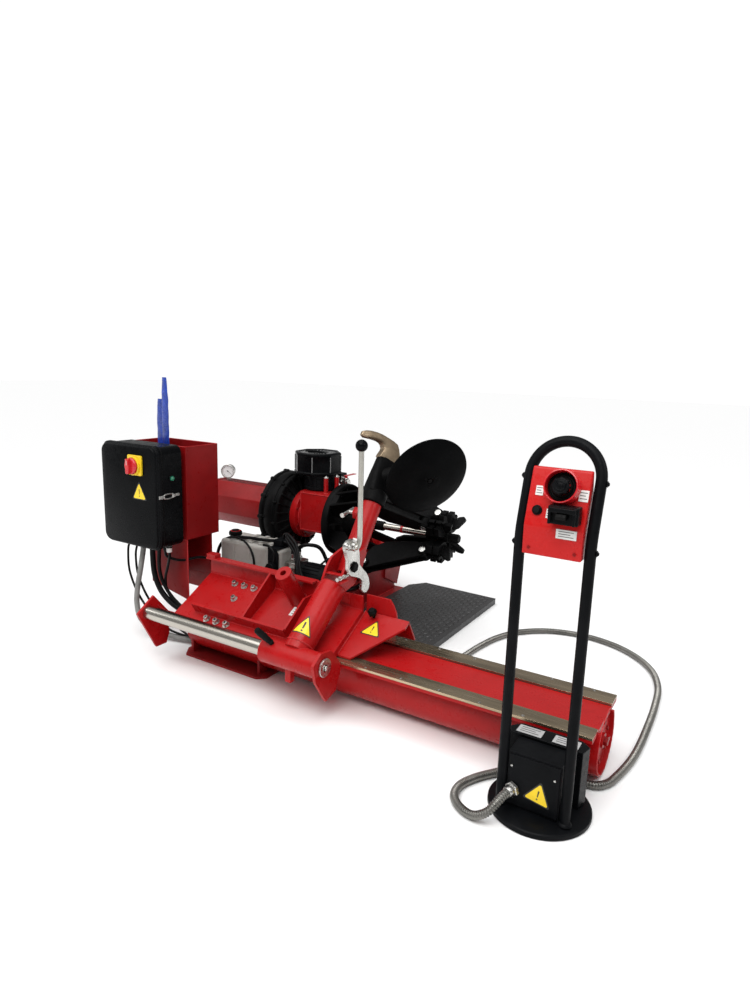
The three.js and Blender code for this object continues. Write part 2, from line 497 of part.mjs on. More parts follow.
// Sheet guard over the rails at the carriage's right end, folded down at the rear, with the feed rod's lug under it.
function makeGuard() {
  const x0 = CARRIAGE.right + GAP;
  const tip = -722;
  const sheet = slabX([[28, 203], [28, 210], [213, 319], [268, 232], [262, 228], [213, 311]], x0, tip);
  const corner = slabZ([[-863, 20], [tip + 1, 186], [tip + 1, 20]], 150, 400);
  const rodLug = slabX([[222, 296], [250, 262], [FEED.y + 22, 252], [FEED.y + 22, 106], [FEED.y - 22, 106],
    [FEED.y - 22, 212], [236, 212]], -876 + GAP, -864);
  const wing = slabY([[x0, 298], [x0, 383], [-808, 383], [-793, 363], [-779, 334], [-774, 298]], 216, 224);
  add('rail_guard', join(cut(sheet, corner), rodLug, wing), red);
  const foot = [-862, 196, 308.95 + GAP];
  const top = [foot[0], foot[1] - 0.5076 * 50, foot[2] + 0.8616 * 50];
  add('guard_knob', turned([[0, 0], [6, 0], [6, 16], [15, 21], [16, 34], [10, 44], [0, 44]], foot, top, 16), rubber);
}

// ---- tool arm ----
const lowerDir = [0, Math.cos(LOWER_ARM.angle), Math.sin(LOWER_ARM.angle)];
const upperDir = [0, Math.cos(UPPER_ARM.angle), Math.sin(UPPER_ARM.angle)];

function onLower(d, x = ARM_X) {
  return [x, SHAFT.y + lowerDir[1] * d, SHAFT.z + lowerDir[2] * d];
}

function onUpper(d, x = ARM_X) {
  return [x, UPPER_ARM.y + upperDir[1] * d, UPPER_ARM.z + upperDir[2] * d];
}

function makeToolArm() {
  add('sleeve_bush', pipe([-1128, SHAFT.y, SHAFT.z], [-888, SHAFT.y, SHAFT.z], 33, SHAFT.r + 0.05 + GAP, 24), bronze);
  const sleeve = bar([-1130, SHAFT.y, SHAFT.z], [-887, SHAFT.y, SHAFT.z], 45, 28);
  const lower = bar(onLower(20), onLower(LOWER_ARM.length), LOWER_ARM.r, 28);
  const upper = bar(onUpper(-300), onUpper(0), UPPER_ARM.r, 24);
  const peg = block(-1032, -1008, SHAFT.y - 12, SHAFT.y + 12, 130, 190);
  const cheeks = [ARM_X - 44, ARM_X + 34].map((x) => slabX([[100, 392], [112, 440], [138, 486], [170, 518], [214, 530],
    [280, 545], [290, 520], [262, 470], [214, 416]], x, x + 10));
  const boss = bar([ARM_X - 34, 360, 652], [ARM_X - 62, 360, 652], 24, 6);
  const stud = join(bar([ARM_X + 43, 172, 496], [ARM_X + 72, 172, 496], 15, 20),
    bar([ARM_X + 67, 172, 496], [ARM_X + 74, 172, 496], 21, 20));
  const body = join(sleeve, lower, upper, peg, ...cheeks, boss, stud);
  const bore = bar([-1140, SHAFT.y, SHAFT.z], [-880, SHAFT.y, SHAFT.z], 33.3, 28);
  const pinBore = bar([ARM_X - 80, 360, 652], [ARM_X - 20, 360, 652], 8.3, 12);
  add('tool_arm', cut(body, bore, pinBore), red);
  add('index_pin', join(bar([ARM_X - 92, 360, 652], [ARM_X - 24, 360, 652], 8, 12),
    bar([ARM_X - 90, 322, 646], [ARM_X - 90, 392, 658], 7, 12)), silver);
  add('sleeve_handle', join(bar([-1085, -126.6, 263.2], [-1085, -132, 274], 9, 12),
    bar([-1085, -131, 273], [-1118, -164, 316], 12, 16)), rubber);
}

function makeLatch() {
  const x0 = ARM_X + 50;
  const plate = slabX([[118, 560], [112, 592], [160, 604], [206, 560], [214, 492], [262, 452], [286, 398], [262, 372],
    [226, 392], [232, 424], [186, 452], [136, 470], [132, 520]], x0, x0 + 14);
  add('latch_hook', cut(plate, bar([x0 - 5, 172, 496], [x0 + 20, 172, 496], 15.4, 20)), silver);
  const lx = x0 + 34;
  const rod = bentBar([[x0 + 14 + GAP, 158, 578], [x0 + 24, 158, 578], [x0 + 31, 162, 579], [lx, 168, 588], [lx, 176, 604],
    [lx, 174, 700], [lx, 172, 940]], 10, 12, new THREE.Vector3(0, 1, 0));
  add('latch_lever', join(rod, new THREE.SphereGeometry(22, 20, 12).translate(lx, 172, 950)), chrome);
}

// The bead disc faces down the bed and towards the operator.
function discPoint(out) {
  const normal = new THREE.Vector3(0.747, -0.517, -0.417).normalize();
  return new THREE.Vector3(DISC.x, DISC.y, DISC.z).addScaledVector(normal, out).toArray();
}

function makeToolHead() {
  const collar = bar(onUpper(GAP), onUpper(52), 50, 28);
  const neck = bar(onUpper(50), onUpper(196), 46, 20, 32);
  const branch = bar(onUpper(130), discPoint(-44), 36, 20, 26);
  const seat = bar(discPoint(-56), discPoint(-8 - GAP), 30, 20);
  add('tool_head', join(collar, neck, branch, seat), blackCast);
  add('mount_hook', hookBlade(), bronze);
  add('bead_disc', turned([[0, 0], [34, 0], [40, 9], [118, 13], [168, 2], [DISC.r, 4], [DISC.r, 9], [122, 27], [46, 36],
    [0, 38]], discPoint(-8), discPoint(0), 44), blackCast);
}

// Curved blade drawn in the plane of the arm's axis and the direction the hook reaches in.
function hookBlade() {
  const points = [[-38, 0], [-42, 46], [-14, 84], [60, 92], [128, 76], [186, 44], [206, 20], [196, 10], [150, 36], [96, 52],
    [48, 48], [34, 34], [46, 0]];
  const across = new THREE.Vector3(-0.4, -0.76 * 0.998, 0.512).normalize();
  const along = new THREE.Vector3(...upperDir);
  const thick = new THREE.Vector3().crossVectors(across, along).normalize();
  across.crossVectors(along, thick);
  const blade = slabZ(points, -19, 19);
  blade.applyMatrix4(new THREE.Matrix4().makeBasis(across, along, thick));
  return blade.translate(...onUpper(196 + GAP, ARM_X));
}

// ---- control stand ----
function makeStand() {
  add('stand_base', turned([[0, 0], [145, 0], [147, 4], [145, 16], [120, 24], [0, 26]],
    [STAND.x, STAND.y, 0], [STAND.x, STAND.y, 100], 40), black);
  add('stand_frame', bentBar(standLoop(), STAND.legR, 14, standSide()), black);
  const x0 = STAND.x - STAND.spread + STAND.legR + 1;
  const x1 = STAND.x + STAND.spread - STAND.legR - 1;
  const cabinet = slabX([[-174, 26.5], [-174, 192], [-90, 192], [-90, 26.5]], x0, x1);
  const cover = block(x0 + 4, x1 - 4, -178, -173, 32, 184);
  const gland = turned([[0, 0], [17, 0], [17, 14], [14, 15], [14, 30], [0, 30]], [-164, -177, 82], [-184, -238.7, 74], 12);
  add('junction_box', join(cut(cabinet, block(x0 + 4, x1 - 4, -170, -94, 20, 184)), cover, gland), black);
  add('pedal_housing', cut(slabZ([[-214, -89], [-3, -89], [6, -50], [-20, -28], [-196, -28], [-222, -60]], 26.5, 200),
    slabZ([[-208, -83], [-9, -83], [-1, -52], [-22, -34], [-194, -34], [-214, -60]], 20, 194)), black);
  makeConsole(x0, x1);
}

function standSide() {
  return new THREE.Vector3(0, 1, 0);
}

// The loop: two upright legs that lean back above the knee and meet in a half circle.
function standLoop() {
  const { x, legY, spread, knee, top, lean } = STAND;
  const springZ = top - spread;
  const backY = (z) => legY + Math.max(z - knee, 0) * lean;
  const leg = [26.5, knee - 12, knee + 12, springZ];
  const points = leg.map((z) => [x - spread, backY(z), z]);
  const arcSteps = 14;
  for (let i = 1; i < arcSteps; i += 1) {
    const a = Math.PI - (Math.PI * i) / arcSteps;
    const z = springZ + spread * Math.sin(a);
    points.push([x + spread * Math.cos(a), backY(z), z]);
  }
  return points.concat(leg.reverse().map((z) => [x + spread, backY(z), z]));
}

function makeConsole(x0, x1) {
  const profile = [[-196, 768], [-198, 850], [-192, 862], [-152, 990], [-140, 990], [-128, 930], [-150, 850],
    [-156, 768]];
  const inner = [[-192, 700], [-194, 849], [-188, 861], [-149, 985], [-144, 985], [-133, 930], [-155, 850],
    [-161, 700]];
  const tilt = Math.atan2(40, 128);
  const face = (x, up, out) => [x, -192 + up * Math.sin(tilt) - out * Math.cos(tilt),
    862 + up * Math.cos(tilt) + out * Math.sin(tilt)];
  const shell = cut(slabX(profile, x0, x1), slabX(inner, x0 + 4, x1 - 4));
  const ring = turned([[30, 0], [38, 0], [36, 26], [31, 26]], face(-98, 86, -1), face(-98, 86, 50), 24);
  const switchBox = block(-112, -46, -226, -190, 866, 904);
  add('console_box', join(shell, ring, switchBox), red);
  add('joystick', turned([[0, 9], [12, 9], [14, 20], [20, 30], [25, 44], [21, 56], [0, 60]],
    face(-98, 86, 0), face(-98, 86, 50), 20), plasticBlack);
  const key = slabX([[-242, 876], [-242, 894], [-229.5, 894], [-226.4, 887], [-226.4, 883], [-229.5, 876]], -92, -66);
  add('switch_lever', key, plasticBlack);
  add('push_button', turned([[0, 0], [12, 0], [12, 7], [0, 9]], face(-156, 22, 2 + GAP), face(-156, 22, 50), 16), rubber);
}

// ---- steel conduit from the control stand along the floor to the base frame ----
const CONDUIT_ROUTE = [[-173.3, -206.2, 78.2], [-176.8, -217, 76.8], [-186, -240, 66], [-206, -262, 40], [-244, -266, 17], [-290, -250, 13.4],
  [-326, -212, 13.4], [-334, -160, 13.4], [-312, -100, 13.4], [-270, -38, 13.4], [-225, 18, 13.4], [-165, 54, 13.4],
  [-100, 62, 13.4], [-34, 65, 13.4], [10, 74, 13.4], [36, 104, 13.4], [52, 160, 13.4], [68, 250, 13.4],
  [76, 340, 13.4], [78, 500, 13.4], [73, 700, 13.4], [56, 870, 13.4], [10, 1010, 13.4], [-70, 1115, 13.4],
  [-180, 1190, 13.4], [-320, 1222, 13.4], [-470, 1190, 13.4], [-590, 1090, 13.4], [-655, 960, 13.4],
  [-685, 820, 13.4], [-700, 680, 13.4], [-722, 550, 13.4], [-765, 462, 13.4], [-830, 416, 13.4], [-920, 402, 13.4],
  [-1030, 400, 13.4], [-1140, 401, 13.4], [-1225, 402, 16], [-1290, 403, 32], [-1345, 404, 44], [-1389, 404, 46]];

function makeConduit() {
  add('conduit', hose(CONDUIT_ROUTE, CONDUIT_R, 84, 8), metal(0x8d8b84, 0.4));
}

makeBase();
makeBed();
makeFeedCylinder();
makeColumn();
makeEnclosure();
makePowerPack();
makePlatform();
makeChuckArm();
makeLiftCylinder();
makeChuck();
makeCarriage();
makeToolArm();
makeLatch();
makeToolHead();
makeStand();
makeConduit();

machine.position.set(-ORIGIN.x, -ORIGIN.y, 0);

export default machine;
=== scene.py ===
import math
import random

import bmesh
import bpy
from mathutils import Matrix, Vector


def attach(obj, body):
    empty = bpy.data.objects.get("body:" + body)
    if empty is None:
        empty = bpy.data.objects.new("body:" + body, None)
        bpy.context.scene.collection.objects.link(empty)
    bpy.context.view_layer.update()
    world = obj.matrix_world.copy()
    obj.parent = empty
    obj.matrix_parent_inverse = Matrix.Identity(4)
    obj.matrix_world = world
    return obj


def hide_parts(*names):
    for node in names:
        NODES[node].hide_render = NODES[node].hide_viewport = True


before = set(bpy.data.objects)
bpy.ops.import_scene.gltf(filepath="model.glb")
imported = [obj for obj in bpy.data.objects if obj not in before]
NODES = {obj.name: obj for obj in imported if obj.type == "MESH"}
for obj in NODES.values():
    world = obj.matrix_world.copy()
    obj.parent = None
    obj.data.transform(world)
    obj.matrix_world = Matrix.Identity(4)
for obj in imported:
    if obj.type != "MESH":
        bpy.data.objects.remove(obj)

random.seed(7)
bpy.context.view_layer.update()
ORIGIN = (-1126.0, 590.0)  # the frame's origin, in bed coordinates (mm)
CAMERA_PLACE = (358, -1827, 1235)  # bed coordinates (mm)
RIGHT, BACK, FRONT, UP = (1, 0, 0), (0, 1, 0), (0, -1, 0), (0, 0, 1)


def P(x, y, z):
    """A point given in bed coordinates (mm), as metres in the shared frame."""
    return Vector(((x - ORIGIN[0]) / 1000, (y - ORIGIN[1]) / 1000, z / 1000))


# ------------------------------------------------------------------ camera
def make_camera():
    """The camera, from its turn, its lens and its place."""
    yaw, pitch, roll = math.radians(31.33), math.radians(11.46), math.radians(1.71)
    forward = Vector((-math.sin(yaw) * math.cos(pitch), math.cos(yaw) * math.cos(pitch), -math.sin(pitch)))
    right = Vector((math.cos(yaw), math.sin(yaw), 0))
    up = right.cross(forward)
    right, up = (
        math.cos(roll) * right + math.sin(roll) * up,
        -math.sin(roll) * right + math.cos(roll) * up,
    )
    data = bpy.data.cameras.new("camera")
    data.lens = 24.07
    data.sensor_width = 36
    data.sensor_fit = "AUTO"
    data.clip_start, data.clip_end = 0.05, 60
    cam = bpy.data.objects.new("camera", data)
    bpy.context.scene.collection.objects.link(cam)
    turn = Matrix((right, up, -forward)).transposed()
    cam.matrix_world = Matrix.Translation(P(*CAMERA_PLACE)) @ turn.to_4x4()
    bpy.context.scene.camera = cam


make_camera()


# ------------------------------------------------------------------ materials
def material(name, base, rough, metallic=0.0, vary=0.12, blotch=3.0, grain=260.0, bump=0.04,
             edge=0.0016, edge_wear_and_highlight=None, dust=0.0, coat=0.0, stretch=(1, 1, 1), tint=None, bump_size=0.0004,
             rough_vary=0.12, subsurface=0.0, specular=0.5):
    """Paint, metal or plastic: two noises vary its colour and gloss, a third one its grain, and edges are
    rounded and, with edge_wear_and_highlight, a little lighter: partly worn paint, partly a painted
    highlight."""
    mat = bpy.data.materials.new(name)
    mat.use_nodes = True
    nt = mat.node_tree
    nodes, links = nt.nodes, nt.links
    bsdf = nodes["Principled BSDF"]
    bsdf.inputs["Metallic"].default_value = metallic
    if coat:
        bsdf.inputs["Coat Weight"].default_value = coat
        bsdf.inputs["Coat Roughness"].default_value = 0.12
    bsdf.inputs["Specular IOR Level"].default_value = specular
    if subsurface:
        bsdf.inputs["Subsurface Weight"].default_value = subsurface
        bsdf.inputs["Subsurface Radius"].default_value = (0.02, 0.02, 0.015)
    coord = nodes.new("ShaderNodeTexCoord")
    mapping = nodes.new("ShaderNodeMapping")
    mapping.inputs["Scale"].default_value = stretch
    links.new(coord.outputs["Object"], mapping.inputs["Vector"])

    def noise(scale, detail, roughness=0.55):
        n = nodes.new("ShaderNodeTexNoise")
        n.inputs["Scale"].default_value = scale
        n.inputs["Detail"].default_value = detail
        n.inputs["Roughness"].default_value = roughness
        links.new(mapping.outputs["Vector"], n.inputs["Vector"])
        return n.outputs["Fac"]

    def remap(value, a, b, c, d):
        m = nodes.new("ShaderNodeMapRange")
        m.inputs["From Min"].default_value = a
        m.inputs["From Max"].default_value = b
        m.inputs["To Min"].default_value = c
        m.inputs["To Max"].default_value = d
        links.new(value, m.inputs["Value"])
        return m.outputs["Result"]

    def mix(fac, a, b):
        m = nodes.new("ShaderNodeMix")
        m.data_type = "RGBA"
        links.new(fac, m.inputs["Factor"])
        for socket, value in ((m.inputs["A"], a), (m.inputs["B"], b)):
            if isinstance(value, tuple):
                socket.default_value = (*value, 1)
            else:
                links.new(value, socket)
        return m.outputs["Result"]

    large = noise(blotch, 4)
    medium = noise(blotch * 9, 6, 0.65)
    dark = tuple(c * (1 - vary) for c in base)
    light = tuple(min(1.0, c * (1 + vary) + 0.01 * vary) for c in base)
    colour = mix(remap(large, 0.35, 0.65, 0, 1), dark, light)
    speck = tuple(c * 0.6 for c in base) if tint is None else tint
    colour = mix(remap(medium, 0.56, 0.82, 0, 0.55), colour, speck)
    bevel = nodes.new("ShaderNodeBevel")
    bevel.samples = 4
    bevel.inputs["Radius"].default_value = edge
    geo = nodes.new("ShaderNodeNewGeometry")
    # edge lightening along the rounded edges: partly worn paint, partly a painted highlight
    if edge_wear_and_highlight is not None:
        dot = nodes.new("ShaderNodeVectorMath")
        dot.operation = "DOT_PRODUCT"
        links.new(bevel.outputs["Normal"], dot.inputs[0])
        links.new(geo.outputs["Normal"], dot.inputs[1])
        colour = mix(remap(dot.outputs["Value"], 0.99, 0.86, 0, 0.6), colour, edge_wear_and_highlight)
    if dust:
        sep = nodes.new("ShaderNodeSeparateXYZ")
        links.new(geo.outputs["Normal"], sep.inputs["Vector"])
        up = remap(sep.outputs["Z"], 0.55, 1.0, 0, dust)
        mul = nodes.new("ShaderNodeMath")
        mul.operation = "MULTIPLY"
        links.new(up, mul.inputs[0])
        links.new(remap(medium, 0.3, 0.7, 0.3, 1.0), mul.inputs[1])
        colour = mix(mul.outputs["Value"], colour, (0.42, 0.38, 0.34))
    links.new(colour, bsdf.inputs["Base Color"])
    links.new(remap(medium, 0.3, 0.7, max(rough - rough_vary, 0.04), rough + rough_vary),
              bsdf.inputs["Roughness"])
    fine = noise(grain, 3)
    bump_node = nodes.new("ShaderNodeBump")
    bump_node.inputs["Strength"].default_value = min(bump * 6, 1.0)
    bump_node.inputs["Distance"].default_value = bump_size
    links.new(fine, bump_node.inputs["Height"])
    links.new(bevel.outputs["Normal"], bump_node.inputs["Normal"])
    links.new(bump_node.outputs["Normal"], bsdf.inputs["Normal"])
    return mat


RED = (0.345, 0.0050, 0.0060)
M = {
    "red": material("red_enamel", RED, 0.32, vary=0.10, blotch=2.5, grain=170, bump=0.03,
                    edge_wear_and_highlight=(0.52, 0.05, 0.05), dust=0.01, specular=0.20, tint=(0.25, 0.004, 0.005)),
    # lighter copy of the red enamel for the console: painted light on its top-lit faces
    "red_painted_light": material("red_console_painted_light", (0.46, 0.0065, 0.0060), 0.30, vary=0.06, blotch=5,
                          grain=300, bump=0.03, edge_wear_and_highlight=(0.62, 0.06, 0.06), specular=0.25,
                          tint=(0.40, 0.006, 0.006)),
    # darker copy of the red enamel: painted shade, used on the cowl, column, tool bin, seams and bolts
    "red_painted_shade": material("red_enamel_painted_shade", (0.215, 0.0035, 0.0042), 0.36, vary=0.16, blotch=5,
                         grain=120, bump=0.05, edge_wear_and_highlight=(0.42, 0.04, 0.04), specular=0.16,
                         tint=(0.15, 0.003, 0.004)),
    "red_plate": material("red_foot_plate", (0.26, 0.007, 0.009), 0.42, vary=0.2, blotch=9,
                          grain=90, bump=0.06, tint=(0.09, 0.012, 0.011), edge_wear_and_highlight=(0.42, 0.05, 0.05),
                          dust=0.05, specular=0.2),
    "black": material("black_powder_coat", (0.0030, 0.0034, 0.0042), 0.38, vary=0.2, blotch=6,
                      grain=520, bump=0.08, edge_wear_and_highlight=(0.010, 0.010, 0.012), bump_size=0.0003, specular=0.06),
    "cast": material("black_cast_paint", (0.0022, 0.0022, 0.0024), 0.46, vary=0.25, blotch=8,
                     grain=210, bump=0.13, edge_wear_and_highlight=(0.016, 0.0155, 0.015), bump_size=0.0007, specular=0.05),
    "disc": material("disc_black", (0.0014, 0.0016, 0.0018), 0.40, vary=0.2, blotch=4, grain=340, bump=0.05,
                     edge_wear_and_highlight=(0.012, 0.012, 0.013), specular=0.02),
    "plastic": material("moulded_black_plastic", (0.0016, 0.0019, 0.0024), 0.28, vary=0.15,
                        blotch=5, grain=700, bump=0.05, edge=0.004, bump_size=0.0002, specular=0.07,
                        edge_wear_and_highlight=(0.010, 0.011, 0.013)),
    "rubber": material("black_rubber", (0.0030, 0.0030, 0.0030), 0.6, vary=0.2, blotch=12,
                       grain=300, bump=0.10, edge=0.002, specular=0.10),
    "chrome": material("ground_hard_chrome", (0.50, 0.47, 0.42), 0.20, metallic=1.0, vary=0.05, blotch=3,
                       grain=60, bump=0.02, stretch=(0.05, 1, 1), rough_vary=0.05, tint=(0.48, 0.44, 0.36),
                       bump_size=0.0002),
    # the lighter streaks stretched along the rail (tint) are painted highlight streaks
    "rail": material("oiled_rail_steel", (0.36, 0.285, 0.19), 0.24, metallic=0.9, vary=0.35,
                     blotch=16, grain=150, bump=0.08, stretch=(0.10, 1, 1), tint=(0.62, 0.56, 0.46),
                     rough_vary=0.14, edge=0.001),
    "steel": material("machined_steel", (0.44, 0.43, 0.40), 0.32, metallic=1.0, vary=0.15,
                      blotch=20, grain=200, bump=0.05, rough_vary=0.10, edge=0.0008),
    "zinc": material("zinc_plated_steel", (0.56, 0.555, 0.53), 0.30, metallic=1.0, vary=0.14,
                     blotch=16, grain=180, bump=0.05, tint=(0.28, 0.27, 0.25), rough_vary=0.12, edge=0.0008),
    "lever": material("brushed_lever_steel", (0.50, 0.485, 0.44), 0.30, metallic=1.0, vary=0.12, blotch=10,
                      grain=140, bump=0.06, stretch=(1, 1, 0.2), rough_vary=0.1),
    "bronze": material("cast_tool_steel", (0.36, 0.275, 0.185), 0.44, metallic=1.0, vary=0.22,
                       blotch=14, grain=150, bump=0.14, tint=(0.20, 0.15, 0.10), edge_wear_and_highlight=(0.55, 0.47, 0.36),
                       edge=0.002, bump_size=0.0006),
    "tank": material("translucent_tank_plastic", (0.36, 0.35, 0.325), 0.42, vary=0.16, blotch=7, grain=130,
                     bump=0.08, tint=(0.20, 0.18, 0.15), specular=0.3, subsurface=0.25, edge=0.004),
    "yellow": material("yellow_plastic", (0.80, 0.55, 0.012), 0.35, vary=0.05, blotch=20,
                       grain=500, bump=0.02),
    "knob_red": material("red_plastic", (0.52, 0.006, 0.012), 0.28, vary=0.08, blotch=20,
                         grain=400, bump=0.02, edge=0.002, coat=0.3),
    "green": material("green_lens", (0.006, 0.16, 0.085), 0.15, vary=0.1, blotch=40, grain=300,
                      bump=0.02, coat=0.8),
    "blue": material("blue_wrap_film", (0.010, 0.045, 0.34), 0.28, vary=0.25, blotch=26, grain=70, bump=0.22,
                     tint=(0.03, 0.14, 0.62), bump_size=0.0012, coat=0.3),
    "white": material("white_label", (0.68, 0.68, 0.66), 0.5, vary=0.05, blotch=30, grain=300, bump=0.02),
    "silver_label": material("silver_label", (0.50, 0.50, 0.50), 0.45, metallic=0.3, vary=0.06, blotch=30,
                             grain=300, bump=0.02),
    "sign_yellow": material("yellow_sign_film", (0.86, 0.60, 0.010), 0.38, vary=0.05, blotch=18, grain=200,
                            bump=0.02, edge=0.0004),
    "sign_black": material("black_sign_ink", (0.012, 0.012, 0.012), 0.45, vary=0.1, blotch=30, grain=200,
                           bump=0.02, edge=0.0004),
    "tread": material("dark_tread_plate", (0.014, 0.014, 0.0155), 0.40, vary=0.25, blotch=7,
                      grain=190, bump=0.09, edge_wear_and_highlight=(0.10, 0.10, 0.105), dust=0.05, edge=0.001, specular=0.4),
    # lighter than the plate so the studs read bright: painted highlight
    "tread_stud_painted_highlight": material("tread_plate_studs_painted_highlight", (0.026, 0.026, 0.028), 0.30, vary=0.25, blotch=9,
                          grain=190, bump=0.09, edge_wear_and_highlight=(0.14, 0.14, 0.145), edge=0.001, specular=0.5),
    "conduit": material("conduit_steel", (0.20, 0.195, 0.18), 0.34, metallic=0.9, vary=0.15,
                        blotch=12, grain=300, bump=0.06, tint=(0.16, 0.15, 0.13), edge=0.0006),
    "cable": material("black_cable", (0.0030, 0.0030, 0.0034), 0.42, specular=0.12, vary=0.15,
                      blotch=20, grain=400, bump=0.05),
    "grey_cable": material("grey_conduit_plastic", (0.23, 0.23, 0.22), 0.5, vary=0.12, blotch=20, grain=300,
                           bump=0.06),
    "weld": material("painted_weld", (0.44, 0.014, 0.016), 0.34, vary=0.15, blotch=40, grain=350, bump=0.2,
                     edge_wear_and_highlight=(0.70, 0.12, 0.12), bump_size=0.0008, edge=0.001, specular=0.3),
    "grey_edge": material("grey_plastic", (0.20, 0.20, 0.20), 0.42, vary=0.12, blotch=14,
                          grain=300, bump=0.05),
    "dial": material("dial_face", (0.80, 0.80, 0.80), 0.35, vary=0.03, blotch=30, grain=300, bump=0.01,
                     edge=0.0004),
    # near-black for vent slots, screw recesses, a bore and rail seams: painted shade
    "painted_shade_black": material("opening_painted_shade", (0.004, 0.004, 0.004), 0.8, vary=0.2, blotch=30,
                          grain=200, bump=0.02),
}


# ------------------------------------------------------------------ mesh building, in bed coordinates (mm)
def angles(n, phase=0.0):
    """Even steps round a circle, starting at phase."""
    return [phase + 2 * math.pi * k / n for k in range(n)]


def spokes(n):
    """Outward and sideways directions at even steps round an upright axis."""
    for a in angles(n):
        yield Vector((math.cos(a), math.sin(a), 0)), Vector((-math.sin(a), math.cos(a), 0))


def around(axis, n, phase=0.0):
    """Directions square to an axis, at even steps round it."""
    side = axis.orthogonal().normalized()
    return [side * math.cos(a) + axis.cross(side) * math.sin(a) for a in angles(n, phase)]


def bead_radii(n, r):
    """The uneven radii of a weld bead with n + 1 points."""
    return [r * (0.75 + 0.3 * random.random() + 0.15 * math.sin(i * 1.9)) for i in range(n + 1)]


class Part:
    """Collects solids into one mesh."""

    def __init__(self):
        self.bm = bmesh.new()

    def solid(self, points, faces):
        verts = [self.bm.verts.new(P(*p)) for p in points]
        for f in faces:
            try:
                self.bm.faces.new([verts[i] for i in f])
            except ValueError:
                pass
        return self

    def box(self, x0, x1, y0, y1, z0, z1):
        pts = [(x, y, z) for z in (z0, z1) for y in (y0, y1) for x in (x0, x1)]
        return self.solid(pts, [(0, 2, 3, 1), (4, 5, 7, 6), (0, 1, 5, 4), (2, 6, 7, 3),
                                (0, 4, 6, 2), (1, 3, 7, 5)])

    def prism(self, outline, offset):
        """A closed outline of 3-D points pushed along offset."""
        n = len(outline)
        off = Vector(offset)
        pts = [tuple(p) for p in outline] + [tuple(Vector(p) + off) for p in outline]
        faces = [tuple(reversed(range(n))), tuple(range(n, 2 * n))]
        faces += [(i, (i + 1) % n, n + (i + 1) % n, n + i) for i in range(n)]
        return self.solid(pts, faces)

    def lathe(self, profile, origin, axis, seg=64, phase=0.0):
        """Profile of (radius, distance along the axis), turned about the axis."""
        axis = Vector(axis).normalized()
        side = axis.orthogonal().normalized()
        other = axis.cross(side)
        origin = Vector(origin)
        rows = []
        for r, d in profile:
            centre = origin + axis * d
            if r < 1e-6:
                rows.append([self.bm.verts.new(P(*centre))])
                continue
            ring = []
            for k in range(seg):
                a = phase + 2 * math.pi * k / seg
                ring.append(self.bm.verts.new(P(*(centre + (side * math.cos(a) + other * math.sin(a)) * r))))
            rows.append(ring)
        for a, b in zip(rows, rows[1:]):
            for k in range(seg):
                j = (k + 1) % seg
                if len(a) == 1 and len(b) == 1:
                    continue
                if len(a) == 1:
                    self.bm.faces.new((a[0], b[j], b[k]))
                elif len(b) == 1:
                    self.bm.faces.new((a[k], a[j], b[0]))
                else:
                    self.bm.faces.new((a[k], a[j], b[j], b[k]))
        return self

    def loft(self, rings):
        """Closed rings of points, joined one to the next and capped at both ends."""
        n, last = len(rings[0]), len(rings) - 1
        faces = [tuple(range(n)), tuple(reversed(range(last * n, (last + 1) * n)))]
        for k in range(last):
            low, high = k * n, (k + 1) * n
            faces += [(low + i, low + (i + 1) % n, high + (i + 1) % n, high + i) for i in range(n)]
        return self.solid([p for ring in rings for p in ring], faces)

    def puck(self, centre, axis, r, height, seg):
        """A plain disc standing on its centre."""
        return self.lathe([(0, 0), (r, 0), (r, height), (0, height)], centre, axis, seg)

    def rod(self, a, b, r, seg=32, chamfer=1.0):
        """A round bar from a to b with chamfered ends."""
        a, b = Vector(a), Vector(b)
        length = (b - a).length
        c = min(chamfer, length / 3)
        profile = [(0, 0), (r - c, 0), (r, c), (r, length - c), (r - c, length), (0, length)]
        return self.lathe(profile, a, b - a, seg)

    def tube(self, points, r, sides=12, radii=None, caps=True):
        """A round bar, hose or weld bead through the points."""
        pts = [Vector(p) for p in points]
        t0 = (pts[1] - pts[0]).normalized()
        up = t0.orthogonal().normalized()
        rows = []
        for i, p in enumerate(pts):
            t = (pts[min(i + 1, len(pts) - 1)] - pts[max(i - 1, 0)]).normalized()
            up = (up - t * up.dot(t)).normalized()
            side = t.cross(up)
            rr = r if radii is None else radii[i]
            rows.append([self.bm.verts.new(P(*(p + (up * math.cos(a) + side * math.sin(a)) * rr)))
                         for a in angles(sides)])
        for a, b in zip(rows, rows[1:]):
            for k in range(sides):
                j = (k + 1) % sides
                self.bm.faces.new((a[k], a[j], b[j], b[k]))
        if caps:
            self.bm.faces.new(list(reversed(rows[0])))
            self.bm.faces.new(rows[-1])
        return self

    def weld(self, a, b, r=2.6):
        """A slightly uneven weld bead between two points."""
        a, b = Vector(a), Vector(b)
        n = max(4, int((b - a).length / 5))
        pts = [a.lerp(b, i / n) for i in range(n + 1)]
        return self.tube(pts, r, 8, bead_radii(n, r))

    def ring_weld(self, centre, axis, radius, r=2.8, start=0.0, sweep=2 * math.pi):
        axis = Vector(axis).normalized()
        side = axis.orthogonal().normalized()
        other = axis.cross(side)
        n = max(24, int(radius * sweep / 6))
        pts = []
        for i in range(n + 1):
            a = start + sweep * i / n
            pts.append(Vector(centre) + (side * math.cos(a) + other * math.sin(a)) * radius)
        return self.tube(pts, r, 8, bead_radii(n, r))

    def hexagon(self, centre, axis, across, height, turn=0.0):
        r = across / math.sqrt(3)
        return self.lathe([(0, 0), (r, 0), (r, height * 0.85), (r * 0.88, height), (0, height)],
                          centre, axis, 6, turn)

